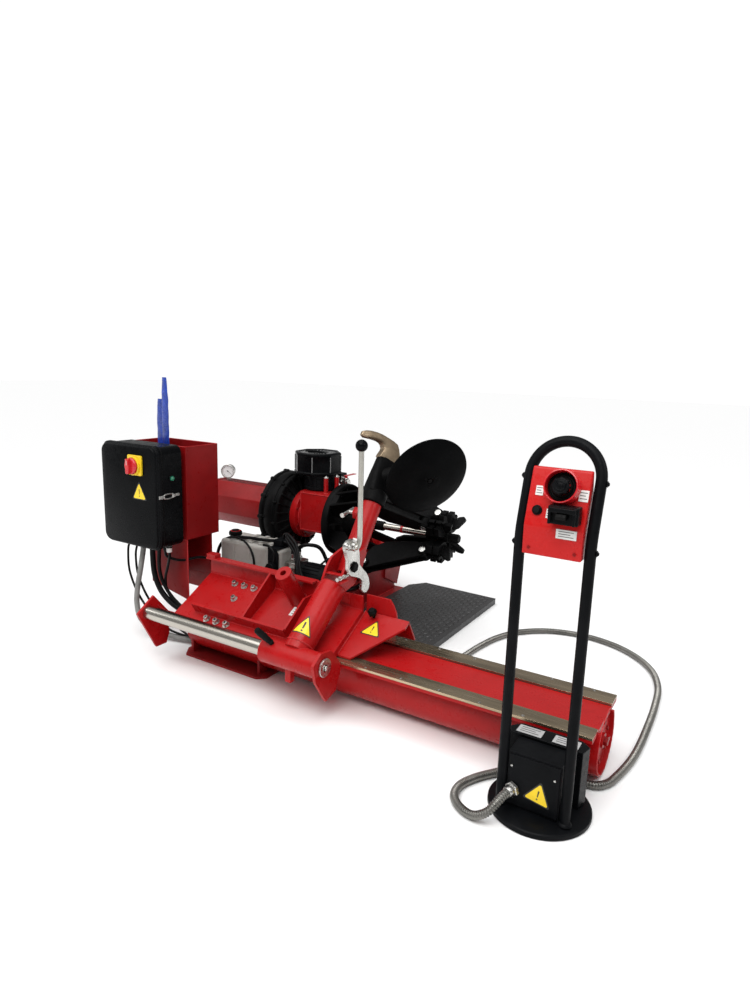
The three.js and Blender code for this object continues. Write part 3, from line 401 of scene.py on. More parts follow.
    def bolt(self, centre, axis, d=10, height=None):
        """Washer and hexagon head."""
        height = d * 0.62 if height is None else height
        axis = Vector(axis).normalized()
        self.puck(centre, axis, d, d * 0.16, 24)
        return self.hexagon(Vector(centre) + axis * d * 0.16, axis, d * 1.5, height)

    def socket(self, centre, axis, d=14, height=9):
        """Socket-head screw with its recess."""
        r = d / 2
        axis = Vector(axis).normalized()
        self.lathe([(0, 0), (r, 0), (r, height - 1), (r - 1, height), (r * 0.58, height)], centre, axis, 28)
        return self.lathe([(r * 0.58, height), (r * 0.58, height * 0.45), (0, height * 0.40)], centre, axis,
                          6)

    def done(self, name, mat, body, bevel=0.0, smooth=32, replaces=(), segments=3, subdivide=0):
        bmesh.ops.recalc_face_normals(self.bm, faces=self.bm.faces)
        mesh = bpy.data.meshes.new(name)
        self.bm.to_mesh(mesh)
        self.bm.free()
        ob = bpy.data.objects.new(name, mesh)
        bpy.context.scene.collection.objects.link(ob)
        mesh.materials.append(M[mat])
        mesh.shade_smooth()
        mesh.set_sharp_from_angle(angle=math.radians(smooth))
        if bevel:
            mod = ob.modifiers.new("edges", "BEVEL")
            mod.width = bevel / 1000
            mod.segments = segments
            mod.limit_method = "ANGLE"
            mod.angle_limit = math.radians(40)
            mod.use_clamp_overlap = True
            mod.harden_normals = False
            mesh.set_sharp_from_angle(angle=math.radians(80))
        if subdivide:
            mod = ob.modifiers.new("smooth", "SUBSURF")
            mod.levels = subdivide
            mod.render_levels = subdivide
        if replaces:
            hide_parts(*replaces)
        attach(ob, body)
        return ob


def smooth_path(points, per=8):
    """Catmull-Rom points through the given ones."""
    pts = [Vector(p) for p in points]
    pts = [pts[0] * 2 - pts[1]] + pts + [pts[-1] * 2 - pts[-2]]
    out = []
    for i in range(1, len(pts) - 2):
        a, b, c, d = pts[i - 1:i + 3]
        for k in range(per):
            t = k / per
            out.append(0.5 * ((2 * b) + (c - a) * t + (2 * a - 5 * b + 4 * c - d) * t ** 2
                              + (3 * b - a - 3 * c + d) * t ** 3))
    out.append(pts[-2])
    return out


def centripetal(points, per):
    """Centripetal Catmull-Rom curve, the same one the CAD cord follows."""
    pts = [Vector(p) for p in points]
    pts = [pts[0] * 2 - pts[1]] + pts + [pts[-1] * 2 - pts[-2]]
    out = []
    for i in range(1, len(pts) - 2):
        p0, p1, p2, p3 = pts[i - 1:i + 3]
        t0 = 0.0
        t1 = t0 + (p1 - p0).length ** 0.5
        t2 = t1 + (p2 - p1).length ** 0.5
        t3 = t2 + (p3 - p2).length ** 0.5
        for k in range(per):
            t = t1 + (t2 - t1) * k / per
            a1 = p0 * ((t1 - t) / (t1 - t0)) + p1 * ((t - t0) / (t1 - t0))
            a2 = p1 * ((t2 - t) / (t2 - t1)) + p2 * ((t - t1) / (t2 - t1))
            a3 = p2 * ((t3 - t) / (t3 - t2)) + p3 * ((t - t2) / (t3 - t2))
            b1 = a1 * ((t2 - t) / (t2 - t0)) + a2 * ((t - t0) / (t2 - t0))
            b2 = a2 * ((t3 - t) / (t3 - t1)) + a3 * ((t - t1) / (t3 - t1))
            out.append(b1 * ((t2 - t) / (t2 - t1)) + b2 * ((t - t1) / (t2 - t1)))
    out.append(pts[-2])
    return out


# ------------------------------------------------------------------ the floor conduit
CONDUIT_R = 13.0
CONDUIT_ROUTE = [
    (-173.3, -206.2, 78.2), (-176.8, -217, 76.8), (-186, -240, 66), (-206, -262, 40), (-244, -266, 17),
    (-290, -250, 13.4), (-326, -212, 13.4), (-334, -160, 13.4), (-312, -100, 13.4), (-270, -38, 13.4),
    (-225, 18, 13.4), (-165, 54, 13.4), (-100, 62, 13.4), (-34, 65, 13.4), (10, 74, 13.4), (36, 104, 13.4),
    (52, 160, 13.4), (68, 250, 13.4), (76, 340, 13.4), (78, 500, 13.4), (73, 700, 13.4), (56, 870, 13.4),
    (10, 1010, 13.4), (-70, 1115, 13.4), (-180, 1190, 13.4), (-320, 1222, 13.4), (-470, 1190, 13.4),
    (-590, 1090, 13.4), (-655, 960, 13.4), (-685, 820, 13.4), (-700, 680, 13.4), (-722, 550, 13.4),
    (-765, 462, 13.4), (-830, 416, 13.4), (-920, 402, 13.4), (-1030, 400, 13.4), (-1140, 401, 13.4),
    (-1225, 402, 16), (-1290, 403, 32), (-1345, 404, 44), (-1389, 404, 46),
]


def resample(points, step):
    """Points at even distances along a line."""
    out = [points[0]]
    carry = 0.0
    for a, b in zip(points, points[1:]):
        length = (b - a).length
        d = step - carry
        while d <= length:
            out.append(a.lerp(b, d / length))
            d += step
        carry = (carry + length) % step if length else carry
    return out


def make_conduit():
    """Ribbed metal conduit along its route."""
    centre = centripetal(CONDUIT_ROUTE, 24)
    pitch = 7.2
    path = resample(centre, pitch / 4)
    profile = [CONDUIT_R, CONDUIT_R - 0.3, CONDUIT_R - 2.4, CONDUIT_R - 2.2]
    radii = [profile[i % 4] for i in range(len(path))]
    part = Part()
    part.tube(path, CONDUIT_R, 14, radii)
    ob = part.done("floor_conduit", "conduit", "machine", smooth=34, replaces=("conduit",))


make_conduit()


# ------------------------------------------------------------------ carried-over CAD nodes
def smooth_node(name, mat, angle=32):
    """Gives a CAD node its material and smooth faces with sharp edges."""
    ob = NODES[name]
    mesh = ob.data
    mesh.materials.clear()
    mesh.materials.append(M[mat])
    mesh.shade_smooth()
    weld = ob.modifiers.new("weld", "WELD")
    weld.merge_threshold = 0.00001
    split = ob.modifiers.new("split", "EDGE_SPLIT")
    split.split_angle = math.radians(angle)


# the column and tool bin take the darker red, which is painted shade
NODE_MATERIALS = {
    "base_frame": "red_plate", "bed": "red", "front_rail": "rail", "rear_rail": "rail",
    "feed_cylinder": "black", "feed_rod": "chrome", "column": "red_painted_shade", "tool_bin": "red_painted_shade",
    "tyre_lever_long": "blue", "tyre_lever_short": "blue", "enclosure_body": "plastic",
    "enclosure_door": "plastic", "switch_plate": "yellow", "main_switch_knob": "knob_red",
    "indicator_lamp": "green", "latch_clip": "zinc", "hydraulic_tank": "tank", "tank_cap": "rubber",
    "valve_block": "steel", "pump_motor": "black", "wheel_platform": "tread", "pivot_pin": "steel",
    "chuck_arm": "red", "gear_housing": "cast", "motor_cowl": "red", "drive_motor": "black",
    "fan_cover": "plastic", "pressure_gauge": "zinc", "ball_valve": "zinc", "ball_valve_handle": "knob_red",
    "lift_cylinder": "black", "lift_rod": "chrome", "chuck_body": "cast", "chuck_rod": "chrome",
    "jaw_1": "cast", "jaw_2": "cast", "jaw_3": "cast", "jaw_4": "cast", "carriage_frame": "red",
    "guide_shaft": "chrome", "rail_guard": "red", "guard_knob": "rubber", "sleeve_bush": "bronze",
    "tool_arm": "red", "index_pin": "zinc", "sleeve_handle": "rubber", "latch_hook": "zinc",
    "latch_lever": "lever", "tool_head": "cast", "mount_hook": "bronze", "bead_disc": "disc",
    "stand_base": "black", "stand_frame": "black", "junction_box": "black", "pedal_housing": "plastic",
    "console_box": "red", "joystick": "plastic", "switch_lever": "plastic", "push_button": "rubber",
}
for node_name, mat_name in NODE_MATERIALS.items():
    smooth_node(node_name, mat_name)


# ------------------------------------------------------------------ shapes shared by several pieces
SPINDLE = (846.0, 480.0)
SHAFT = (-106.0, 222.0)
LOWER = Vector((0, math.cos(math.radians(40)), math.sin(math.radians(40))))
UPPER = Vector((0, math.cos(math.radians(55.8)), math.sin(math.radians(55.8))))
ARM_X = -1005.0
DISC_C = Vector((-828, 513, 804))
DISC_N = Vector((0.747, -0.517, -0.417)).normalized()


def lower(d, x=ARM_X):
    """A point on the axis of the arm's lower tube."""
    return Vector((x, SHAFT[0], SHAFT[1])) + LOWER * d


def upper(d, x=ARM_X):
    """A point on the axis of the arm's upper tube."""
    return Vector((x, 389, 691)) + UPPER * d


def spin(x, r, a):
    """A point at radius r and angle a round the chuck's spindle."""
    return Vector((x, SPINDLE[0] - math.sin(a) * r, SPINDLE[1] + math.cos(a) * r))


SLOPE_ANGLE = math.atan2(130, 228)
SLOPE_SCREWS = ((-1526, 160), (-1474, 160), (-1421, 160), (-1473, 97), (-1517, -13),
                (-1466, -13), (-1413, -13))
GUARD_NORMAL = Vector((0, -0.5076, 0.8616))
CONSOLE_TILT = math.atan2(40, 128)
CONSOLE_NORMAL = Vector((0, -math.cos(CONSOLE_TILT), math.sin(CONSOLE_TILT)))
CONSOLE_UP = Vector((0, math.sin(CONSOLE_TILT), math.cos(CONSOLE_TILT)))


def slope(y, out=0.0):
    """A point (y, z) on the carriage's sloping plate, or out above it."""
    a = SLOPE_ANGLE
    return y - math.sin(a) * out, 199 + (y + 42) * math.tan(a) + math.cos(a) * out


def flat_frame(centre, normal, up):
    """The centre and the three directions of a flat plate."""
    normal, up = Vector(normal).normalized(), Vector(up)
    up = (up - normal * up.dot(normal)).normalized()
    return Vector(centre), up.cross(normal), up, normal


def tangent_at(a):
    """The direction round the chuck's spindle at angle a."""
    return Vector((0, -math.cos(a), -math.sin(a)))


def jaw_frame(i):
    """Angle, tangent and radial direction of jaw i."""
    a = math.pi / 4 + i * math.pi / 2
    return a, tangent_at(a), Vector((0, -math.sin(a), math.cos(a)))


def sign(name, centre, normal, up, size, body):
    """A plain yellow triangle with a black border and a bar and dot in it."""
    c, side, up, normal = flat_frame(centre, normal, up)

    def corner(k, s, r=0.09):
        a0 = math.radians(90 + 120 * k)
        out = []
        for j in range(5):
            a = a0 + math.radians(-60 + 30 * j)
            p = (side * math.cos(a0) + up * math.sin(a0)) * (s * (1 - 2 * r))
            out.append(c + p + (side * math.cos(a) + up * math.sin(a)) * (s * r))
        return out

    def tri(s, out):
        return [p + normal * out for k in range(3) for p in corner(k, s)]

    Part().prism(tri(size, 0.35), normal * 0.3).done(name + "_border", "sign_black", body)
    Part().prism(tri(size * 0.84, 0.68), normal * 0.25).done(name + "_field", "sign_yellow", body)
    mark = Part()
    bar = [side * (size * a) + up * (size * b) for a, b in ((-0.05, 0.36), (0.05, 0.36),
                                                            (0.03, -0.06), (-0.03, -0.06))]
    mark.prism([c + p + normal * 0.95 for p in bar], normal * 0.2)
    mark.puck(c - up * size * 0.2 + normal * 0.95, normal, size * 0.055, 0.2, 20)
    mark.done(name + "_mark", "sign_black", body)


def label(name, centre, normal, up, w, h, body, mat="white"):
    """A plain blank label with a few thin rules."""
    c, side, up, normal = flat_frame(centre, normal, up)

    def rect(u0, u1, v0, v1, out):
        return [c + side * u + up * v + normal * out for u, v in ((u0, v0), (u1, v0), (u1, v1), (u0, v1))]

    Part().prism(rect(-w / 2, w / 2, -h / 2, h / 2, 0.3), normal * 0.25).done(name, mat, body)
    rules = Part()
    for k in range(3):
        v = h * (0.28 - 0.26 * k)
        rules.prism(rect(-w * 0.38, w * (0.36 - 0.16 * (k % 2)), v - h * 0.035, v + h * 0.035, 0.56),
                    normal * 0.12)
    rules.done(name + "_rules", "sign_black", body)


# ------------------------------------------------------------------ gear housing, motor and chuck arm
def make_gear_housing():
    """Ribbed gear case with its bolts."""
    part = Part()
    origin = (-1826, *SPINDLE)
    part.lathe([(0, 0), (190, 0), (203, 2), (206, 8), (206, 22), (203, 25), (199, 27), (199, 34),
                (203, 37), (206, 41), (206, 82), (203, 88), (198, 90), (196, 96), (198, 99), (197, 105),
                (192, 111), (176, 113), (172, 110), (150, 114), (146, 118), (140, 121), (126, 126),
                (123, 130), (122, 134.4), (0, 134.4)],
               origin, RIGHT, 144)
    for i in range(24):
        a = 2 * math.pi * (i + 0.5) / 24
        tangent = tangent_at(a)
        deep = 4 if i % 2 else 2.6
        rib = [(-1722, 120), (-1722, 196), (-1711, 191), (-1702, 168), (-1695, 132), (-1694, 118)]
        part.prism([spin(x, r, a) - tangent * deep for x, r in rib], tangent * deep * 2)
    for b in angles(12):
        part.rod(spin(-1823, 202.5, b), spin(-1793, 202.5, b), 11.5, 20, 2)
        part.rod(spin(-1745, 199, b + 0.13), spin(-1722, 199, b + 0.13), 7, 14, 1.5)
    part.done("gear_case", "cast", "lift_arm", smooth=28, replaces=("gear_housing",), bevel=1.0)
    bolts = Part()
    for b in angles(12):
        bolts.hexagon(spin(-1793, 202.5, b), RIGHT, 13, 7)
    bolts.done("gear_case_bolts", "cast", "lift_arm")


def make_cowl():
    """Eight-sided red cowl with vents, seams and screws; its darker red and the dark vent slots on its top
    are painted shade.
    """
    part = Part()
    r = 112 / math.cos(math.pi / 8)
    part.lathe([(0, 0), (r - 8, 0), (r, 6), (r, 455), (r - 4, 463), (0, 463)], (-2290, *SPINDLE), RIGHT, 8,
               math.pi / 8)
    # the shell takes the darker red: painted shade
    part.done("cowl_shell", "red_painted_shade", "lift_arm", smooth=20, bevel=3, replaces=("motor_cowl",))
    # near-black sheets just over the top face: painted shade in the vent slots
    vents = Part()
    for i in range(14):
        x = -2190 + i * 24
        for y0, y1 in ((-34, -6), (6, 34)):
            vents.box(x, x + 11, SPINDLE[0] + y0, SPINDLE[0] + y1, 592.15, 592.8)
    vents.done("cowl_vent_painted_shade", "painted_shade_black", "lift_arm")
    screws = Part()
    for a in (0.0, math.pi / 2, -math.pi / 2):
        for x in (-2272, -1846):
            c = spin(x, 112, a)
            screws.socket(c, c - Vector((x, *SPINDLE)), 11, 4)
    screws.done("cowl_screws", "zinc", "lift_arm")
    seam = Part()
    for x in (-2252, -1866):
        seam.lathe([(r + 0.2, 0), (r + 2.2, 1), (r + 2.2, 5), (r + 0.2, 6)], (x, *SPINDLE),
                   RIGHT, 8, math.pi / 8)
    # the seams take the darker red: painted shade
    seam.done("cowl_seam", "red_painted_shade", "lift_arm", smooth=20)


def make_motor():
    """Finned body of the drive motor."""
    cx, cy = -1602, 868
    part = Part()
    part.lathe([(0, 0), (78, 0), (84, 5), (84, 16), (80, 18), (80, 60), (84, 62), (84, 77.5), (0, 77.5)],
               (cx, cy, 612.4), UP, 64)
    for d, t in spokes(20):
        base = Vector((cx, cy, 632)) + d * 79
        part.prism([base - t * 1.4, base + t * 1.4, base + t * 1.4 + d * 5, base - t * 1.4 + d * 5],
                   (0, 0, 38))
    part.done("motor_body", "black", "lift_arm", replaces=("drive_motor",))


def make_fan_cover():
    """Eight-sided fan cover with its slats, handle and terminal box."""
    cx, cy = -1625, 868
    cap = Part()
    r = 120
    cap.lathe([(0, 0), (r - 6, 0), (r + 2, 4), (r + 2, 12), (r - 2, 16), (r - 3, 92),
               (r - 1, 96), (r - 1, 104), (r - 6, 109), (r - 20, 109.6), (r - 24, 104), (60, 102), (54, 106),
               (30, 107), (26, 103), (0, 103)],
              (cx, cy, 690.4), UP, 8, math.pi / 8)
    cap.done("fan_shell", "plastic", "lift_arm", smooth=20, bevel=1.6, replaces=("fan_cover",))
    edge = Part()
    for d in around(Vector(UP), 8, math.pi / 8):
        p = Vector((cx, cy, 0)) + d * (r - 1.5)
        edge.tube([p + Vector((0, 0, 708)), p + Vector((0, 0, 782))], 2.2, 8)
    edge.done("fan_shell_edges", "grey_edge", "lift_arm")
    slats = Part()
    for d, t in spokes(28):
        c = Vector((cx, cy, 794))
        slats.prism([c + d * 40 - t * 1.6, c + d * 90 - t * 2.6, c + d * 90 + t * 2.6, c + d * 40 + t * 1.6],
                    (0, 0, 1.6))
    slats.done("fan_slats", "grey_edge", "lift_arm")
    handle = Part()
    handle.tube(smooth_path([(cx - 62, cy - 20, 796), (cx - 40, cy - 16, 800), (cx, cy - 12, 801),
                             (cx + 40, cy - 16, 800), (cx + 62, cy - 20, 796)], 6), 5, 10)
    handle.done("fan_handle", "plastic", "lift_arm")
    box = Part().box(cx + 40, cx + 98, cy + 60, cy + 120, 640, 688)
    box.done("motor_terminal_box", "plastic", "lift_arm", bevel=4)


def make_chuck_arm_details():
    """Welds, post caps and flange bolts of the chuck arm."""
    welds = Part()
    for z in (422, 606):
        welds.weld((-1641, 749.5, z), (-1468, 749.5, z), 2.4)
    for x in (-1640, -1470):
        welds.weld((x, 749.5, 424), (x, 749.5, 604), 2.4)
    for x, y in ((-1514, 786), (-1496, 852)):
        welds.ring_weld((x, y, 612.6), UP, 12.5, 2.6)
    welds.ring_weld((-1647.5, *SPINDLE), RIGHT, 104, 3.0)
    welds.done("arm_box_welds", "weld", "lift_arm")
    tips = Part()
    for x, y in ((-1514, 786), (-1496, 852)):
        tips.rod((x, y, 684), (x, y, 692), 11.4, 20, 1.5)
        tips.socket((x, y, 692), UP, 9, 4)
    tips.done("post_caps", "zinc", "lift_arm")
    bolts = Part()
    for k in range(8):
        a = 2 * math.pi * (k + 0.5) / 8
        c = spin(-1656.6, 113, a)
        bolts.hexagon(c, RIGHT, 13, 6)
    # the flange bolts take the darker red: painted shade
    bolts.done("flange_bolts", "red_painted_shade", "lift_arm")


def make_ball_valve():
    """Ball valve on the arm, with its fittings and lever."""
    valve = Part()
    valve.hexagon((-1490, 925, 612.4), UP, 34, 10)
    valve.rod((-1490, 925, 620), (-1490, 925, 672), 14, 24, 2)
    valve.hexagon((-1522, 925, 650), RIGHT, 30, 12)
    valve.hexagon((-1484, 925, 650), RIGHT, 30, 11)
    valve.rod((-1520, 925, 650), (-1472.5, 925, 650), 12.5, 24, 1.5)
    valve.rod((-1516, 925, 648), (-1516, 925, 676), 9, 20, 1.5)
    valve.hexagon((-1516, 925, 668), UP, 20, 8)
    valve.done("valve_fittings", "zinc", "lift_arm", replaces=("ball_valve",))
    handle = Part()
    handle.rod((-1490, 925, 672.4), (-1490, 925, 686), 8, 20, 1)
    handle.prism([(-1499, 915, 682), (-1481, 915, 682), (-1482, 960, 682), (-1480, 1003, 682),
                  (-1500, 1003, 682), (-1498, 960, 682)], (0, 0, 3.6))
    handle.done("valve_grip", "knob_red", "valve_handle", bevel=1.2, replaces=("ball_valve_handle",))


def make_gauge():
    """Pressure gauge with a plain dial."""
    centre = Vector((-2214.5, 847, 640))
    axis = (Vector((-2205, 828, 640)) - Vector((-2224, 866, 640))).normalized()
    back = centre - axis * 21
    case = Part()
    case.lathe([(0, 0), (30, 0), (34, 3), (34, 30), (38, 33), (38.4, 37), (38, 41),
                (35.5, 42.6), (33.4, 42.4), (32.8, 39.5), (32.8, 37)], back, axis, 64)
    case.rod((-2214.5, 847, 597), (-2214.5, 847, 606), 8, 24, 1)
    case.hexagon((-2214.5, 847, 592.4), UP, 22, 9)
    case.hexagon((-2214.5, 847, 606), UP, 18, 12)
    case.done("gauge_case", "zinc", "lift_arm", replaces=("pressure_gauge",))
    face = back + axis * 36.5
    Part().puck(face - axis * 0.5, axis, 33.4, 1, 64).done("gauge_dial", "dial", "lift_arm")
    side = axis.cross(Vector(UP)).normalized()
    up = Vector(UP)
    ticks = Part()
    top = face + axis * 0.6
    for k in range(31):
        a = math.radians(-135 + 270 * k / 30)
        d = up * math.cos(a) + side * math.sin(a)
        t = axis.cross(d)
        inner = 24 if k % 5 == 0 else 27
        w = 0.7 if k % 5 == 0 else 0.35
        ticks.prism([top + d * inner - t * w, top + d * 30 - t * w, top + d * 30 + t * w,
                     top + d * inner + t * w],
                    axis * 0.3)
    a = math.radians(-128)
    d = up * math.cos(a) + side * math.sin(a)
    t = axis.cross(d)
    ticks.prism([top - d * 7 - t * 1.3, top + d * 24 - t * 0.3, top + d * 24 + t * 0.3,
                 top - d * 7 + t * 1.3],
                axis * 0.9)
    ticks.lathe([(0, 0), (3.2, 0), (3.2, 1.4), (0, 1.8)], top, axis, 20)
    ticks.done("gauge_marks", "sign_black", "lift_arm")


# ------------------------------------------------------------------ chuck
def make_chuck():
    """Chuck casting, jaw pins, jaws and the sliding rod."""
    part = Part()
    origin = (-1461.6, *SPINDLE)
    part.lathe([(41, 0), (170, 0), (177, 3), (178, 8), (178, 30), (175, 35), (163, 36), (158, 33),
                (156, 20), (150, 16), (92, 16), (84, 20), (76, 42), (64, 48), (62, 54), (62, 146), (59, 150),
                (40, 150), (38, 146), (30, 144), (17.2, 144), (17.2, 62)], origin, RIGHT, 128)
    part.rod((-1630, *SPINDLE), (-1461, *SPINDLE), 40, 48, 2)
    for i in range(4):
        a, tangent, radial = jaw_frame(i)
        for s in (-1, 1):
            outline = [(-1446, 92), (-1446, 170), (-1425, 176), (-1250, 240), (-1232, 245),
                       (-1212, 244), (-1196, 234), (-1189, 218), (-1194, 203), (-1208, 193),
                       (-1340, 122), (-1372, 92)]
            c = tangent * (34 * s)
            part.prism([Vector((x, *SPINDLE)) + radial * r + c - tangent * 6 for x, r in outline],
                       tangent * 12)
        part.prism([Vector((x, *SPINDLE)) + radial * r - tangent * 29 for x, r in
                    ((-1446, 96), (-1446, 174), (-1400, 174), (-1400, 108))], tangent * 58)
        b = a + math.pi / 4
        web = tangent_at(b)
        part.prism([spin(x, r, b) - web * 5 for x, r in ((-1446, 66), (-1446, 158),
                                                         (-1430, 158), (-1404, 66))],
                   web * 10)
    part.done("chuck_casting", "cast", "chuck", smooth=28, bevel=1.4, replaces=("chuck_body",))
    pins = Part()
    for i in range(4):
        a, tangent, _ = jaw_frame(i)
        c = spin(-1213, 218, a)
        pins.rod(c - tangent * 46, c + tangent * 46, 13, 28, 1.5)
        for s in (-1, 1):
            pins.lathe([(0, 0), (15, 0), (15, 2), (9, 2.6), (8.5, 1), (0, 1)],
                       c + tangent * (41 * s), tangent * s, 28)
    pins.done("jaw_pins", "zinc", "chuck")
    for i in range(4):
        make_jaw(i)
    rod = Part()
    rod.rod((-1395, *SPINDLE), (-975, *SPINDLE), 16.2, 40, 2)
    rod.done("spindle_rod", "chrome", "rod", replaces=("chuck_rod",))
    nose = Part()
    nose.lathe([(0, 0), (22, 0), (25, 4), (25, 30), (21, 34), (21, 60), (25, 64), (25, 108),
                (23, 112), (0, 112)],
               (-982, *SPINDLE), RIGHT, 40)
    nose.hexagon((-872, *SPINDLE), RIGHT, 36, 50, math.pi / 6)
    nose.done("rod_nose", "cast", "rod", smooth=28)
    slim = Part()
    slim.lathe([(16.4, 0), (22, 1), (23, 5), (23, 84), (21, 88), (16.4, 88)], (-1300, *SPINDLE), RIGHT, 40)
    slim.done("rod_collar", "cast", "rod")
    mark = Part()
    mark.lathe([(16.3, 0), (17, 0.4), (17, 13.6), (16.3, 14)], (-1120, *SPINDLE), RIGHT, 40)
    mark.done("rod_mark", "knob_red", "rod")


def make_jaw(i):
    """One jaw: a forked arm, a stepped claw and its studs."""
    _, tangent, radial = jaw_frame(i)
    body = "jaw_" + "abcd"[i]
    axis = Vector((0, *SPINDLE))

    def at(x, r, t=0.0):
        return Vector((x, 0, 0)) + axis + radial * r + tangent * t

    arm = Part()
    outline = [(-1234, 204), (-1240, 222), (-1228, 240), (-1210, 246), (-1196, 242), (-962, 130), (-946, 124),
               (-935, 110), (-936, 92), (-948, 79), (-968, 66), (-1010, 62), (-1150, 92),
               (-1208, 132), (-1228, 180)]
    for s in (-1, 1):
        t0 = 12 if s > 0 else -26
        arm.prism([at(x, r, t0) for x, r in outline], tangent * 14)
    arm.prism([at(x, r, -13) for x, r in ((-1190, 196), (-1186, 226), (-980, 128), (-984, 100))],
              tangent * 26)
    arm.rod(at(-958, 101, -34), at(-958, 101, 34), 23, 36, 2)
    arm.done(f"jaw_arm_{i + 1}", "cast", body, bevel=1.6, replaces=(f"jaw_{i + 1}",))
    claw = Part()
    steps = [(-30, 46), (-12, 30), (12, 30), (30, 46), (54, 88), (47, 101), (36, 118), (27, 113),
             (20, 102), (10, 106), (8, 122), (-8, 122), (-10, 106), (-20, 102), (-27, 113), (-36, 118),
             (-47, 101), (-54, 88)]
    for x0, x1, k in ((-942, -934, 0.90), (-933.5, -906, 1.0), (-905.5, -900, 0.90), (-899.5, -875, 1.0)):
        claw.prism([at(x0, 30 + (r - 30) * k, t * k) for t, r in steps], (x1 - x0, 0, 0))
    claw.prism([at(x, r, -10) for x, r in ((-878, 42), (-878, 94), (-858, 110), (-838, 116),
                                           (-827, 108), (-830, 96), (-848, 58))], tangent * 20)
    claw.prism([at(x, r, -18) for x, r in ((-985, 62), (-975, 92), (-936, 96), (-936, 44), (-962, 46))],
               tangent * 36)
    claw.done(f"jaw_claw_{i + 1}", "cast", body, bevel=2.0)
    ends = Part()
    for s in (-1, 1):
        ends.lathe([(15, 0), (15, 2.2), (13, 3), (9, 3), (8, 1.2), (0, 1.2)],
                   at(-958, 101, 33.6 * s), tangent * s, 28)
    ends.done(f"jaw_studs_{i + 1}", "zinc", body)


# ------------------------------------------------------------------ power pack
def make_power_pack():
    """Tank, its ribs and the pump bracket."""
    tank = Part()
    tank.box(-1919, -1541, 473, 639, 158.4, 262)
    tank.box(-1919, -1541, 473, 639, 262, 386)
    tank.done("tank_shell", "tank", "machine", bevel=16, segments=4, replaces=("hydraulic_tank",))
    seam = Part()
    seam.prism([(-1921, 471, 259), (-1539, 471, 259), (-1539, 641, 259), (-1921, 641, 259)], (0, 0, 6))
    for x in (-1800, -1740, -1680, -1620, -1572):
        seam.box(x - 11, x + 11, 488, 624, 384, 393)
    for x in (-1830, -1730, -1630):
        seam.box(x - 4, x + 4, 470.5, 474, 172, 378)
    seam.lathe([(0, 0), (26, 0), (26, 18), (24, 20), (0, 20)], (-1860, 520, 382), UP, 40)
    seam.done("tank_ribs", "tank", "machine", bevel=2.5)
    strap = Part()
    strap.prism([(-1612, 470.4, 166), (-1548, 470.4, 166), (-1548, 470.4, 372), (-1566, 470.4, 392),
                 (-1612, 470.4, 392)],
                (0, -4, 0))
    strap.prism([(-1612, 466.4, 389.6), (-1548, 466.4, 389.6), (-1548, 636, 389.6), (-1612, 636, 389.6)],
                (0, 0, 4))
    strap.rod((-1580, 466, 300), (-1580, 438, 300), 26, 32, 3)
    strap.rod((-1580, 466, 230), (-1580, 444, 230), 17, 28, 3)
    strap.box(-1606, -1556, 500, 600, 394, 424)
    strap.done("pump_bracket", "black", "machine", bevel=2)


def make_filler_cap():
    """Knurled filler cap with its red ring."""
    cap = Part()
    cap.lathe([(0, 0), (30, 0), (31, 3), (31, 16), (28, 20), (20, 21), (18, 25.5), (0, 26)],
              (-1860, 520, 402.4), UP, 48)
    for a in angles(24):
        x, y = -1860 + 30.6 * math.cos(a), 520 + 30.6 * math.sin(a)
        cap.rod((x, y, 404), (x, y, 418), 1.6, 8, 0.4)
    cap.done("filler_cap", "rubber", "cap", replaces=("tank_cap",))
    ring = Part().lathe([(19, 0), (24, 0), (24, 1.4), (19, 1.4)], (-1860, 520, 422.8), UP, 40)
    ring.done("filler_cap_ring", "knob_red", "cap")


def make_valve_block():
    """Valve block with its unions."""
    block = Part()
    block.box(-1539, -1481, 502, 608, 182, 328)
    block.done("valve_body", "steel", "machine", bevel=2.5, replaces=("valve_block",))
    fit = Part()
    for y in (530, 580):
        fit.hexagon((-1515, y, 328), UP, 26, 14)
        fit.rod((-1515, y, 342), (-1515, y, 364), 9, 20, 1)
    for z in (215, 255, 295):
        fit.hexagon((-1510, 502, z), FRONT, 22, 12)
        fit.rod((-1510, 490, z), (-1510, 472, z), 8, 20, 1)
    fit.done("valve_unions", "zinc", "machine")


def make_pump_motor():
    """Finned pump motor."""
    motor = Part()
    motor.lathe([(0, 0), (58, 0), (62, 4), (74, 8), (78, 12), (78, 34), (75, 36), (75, 128),
                 (78, 130), (78, 150), (70, 160), (62, 165), (20, 166), (0, 166)],
                 (-1479.4, 555, 250), RIGHT, 64)
    for a in angles(26):
        d = Vector((0, math.cos(a), math.sin(a)))
        t = Vector((0, -d.z, d.y))
        c = Vector((-1443, 555, 250)) + d * 74
        motor.prism([c - t * 1.2, c + t * 1.2, c + t * 1.2 + d * 5, c - t * 1.2 + d * 5], (92, 0, 0))
    motor.done("pump_motor_case", "black", "machine", replaces=("pump_motor",))


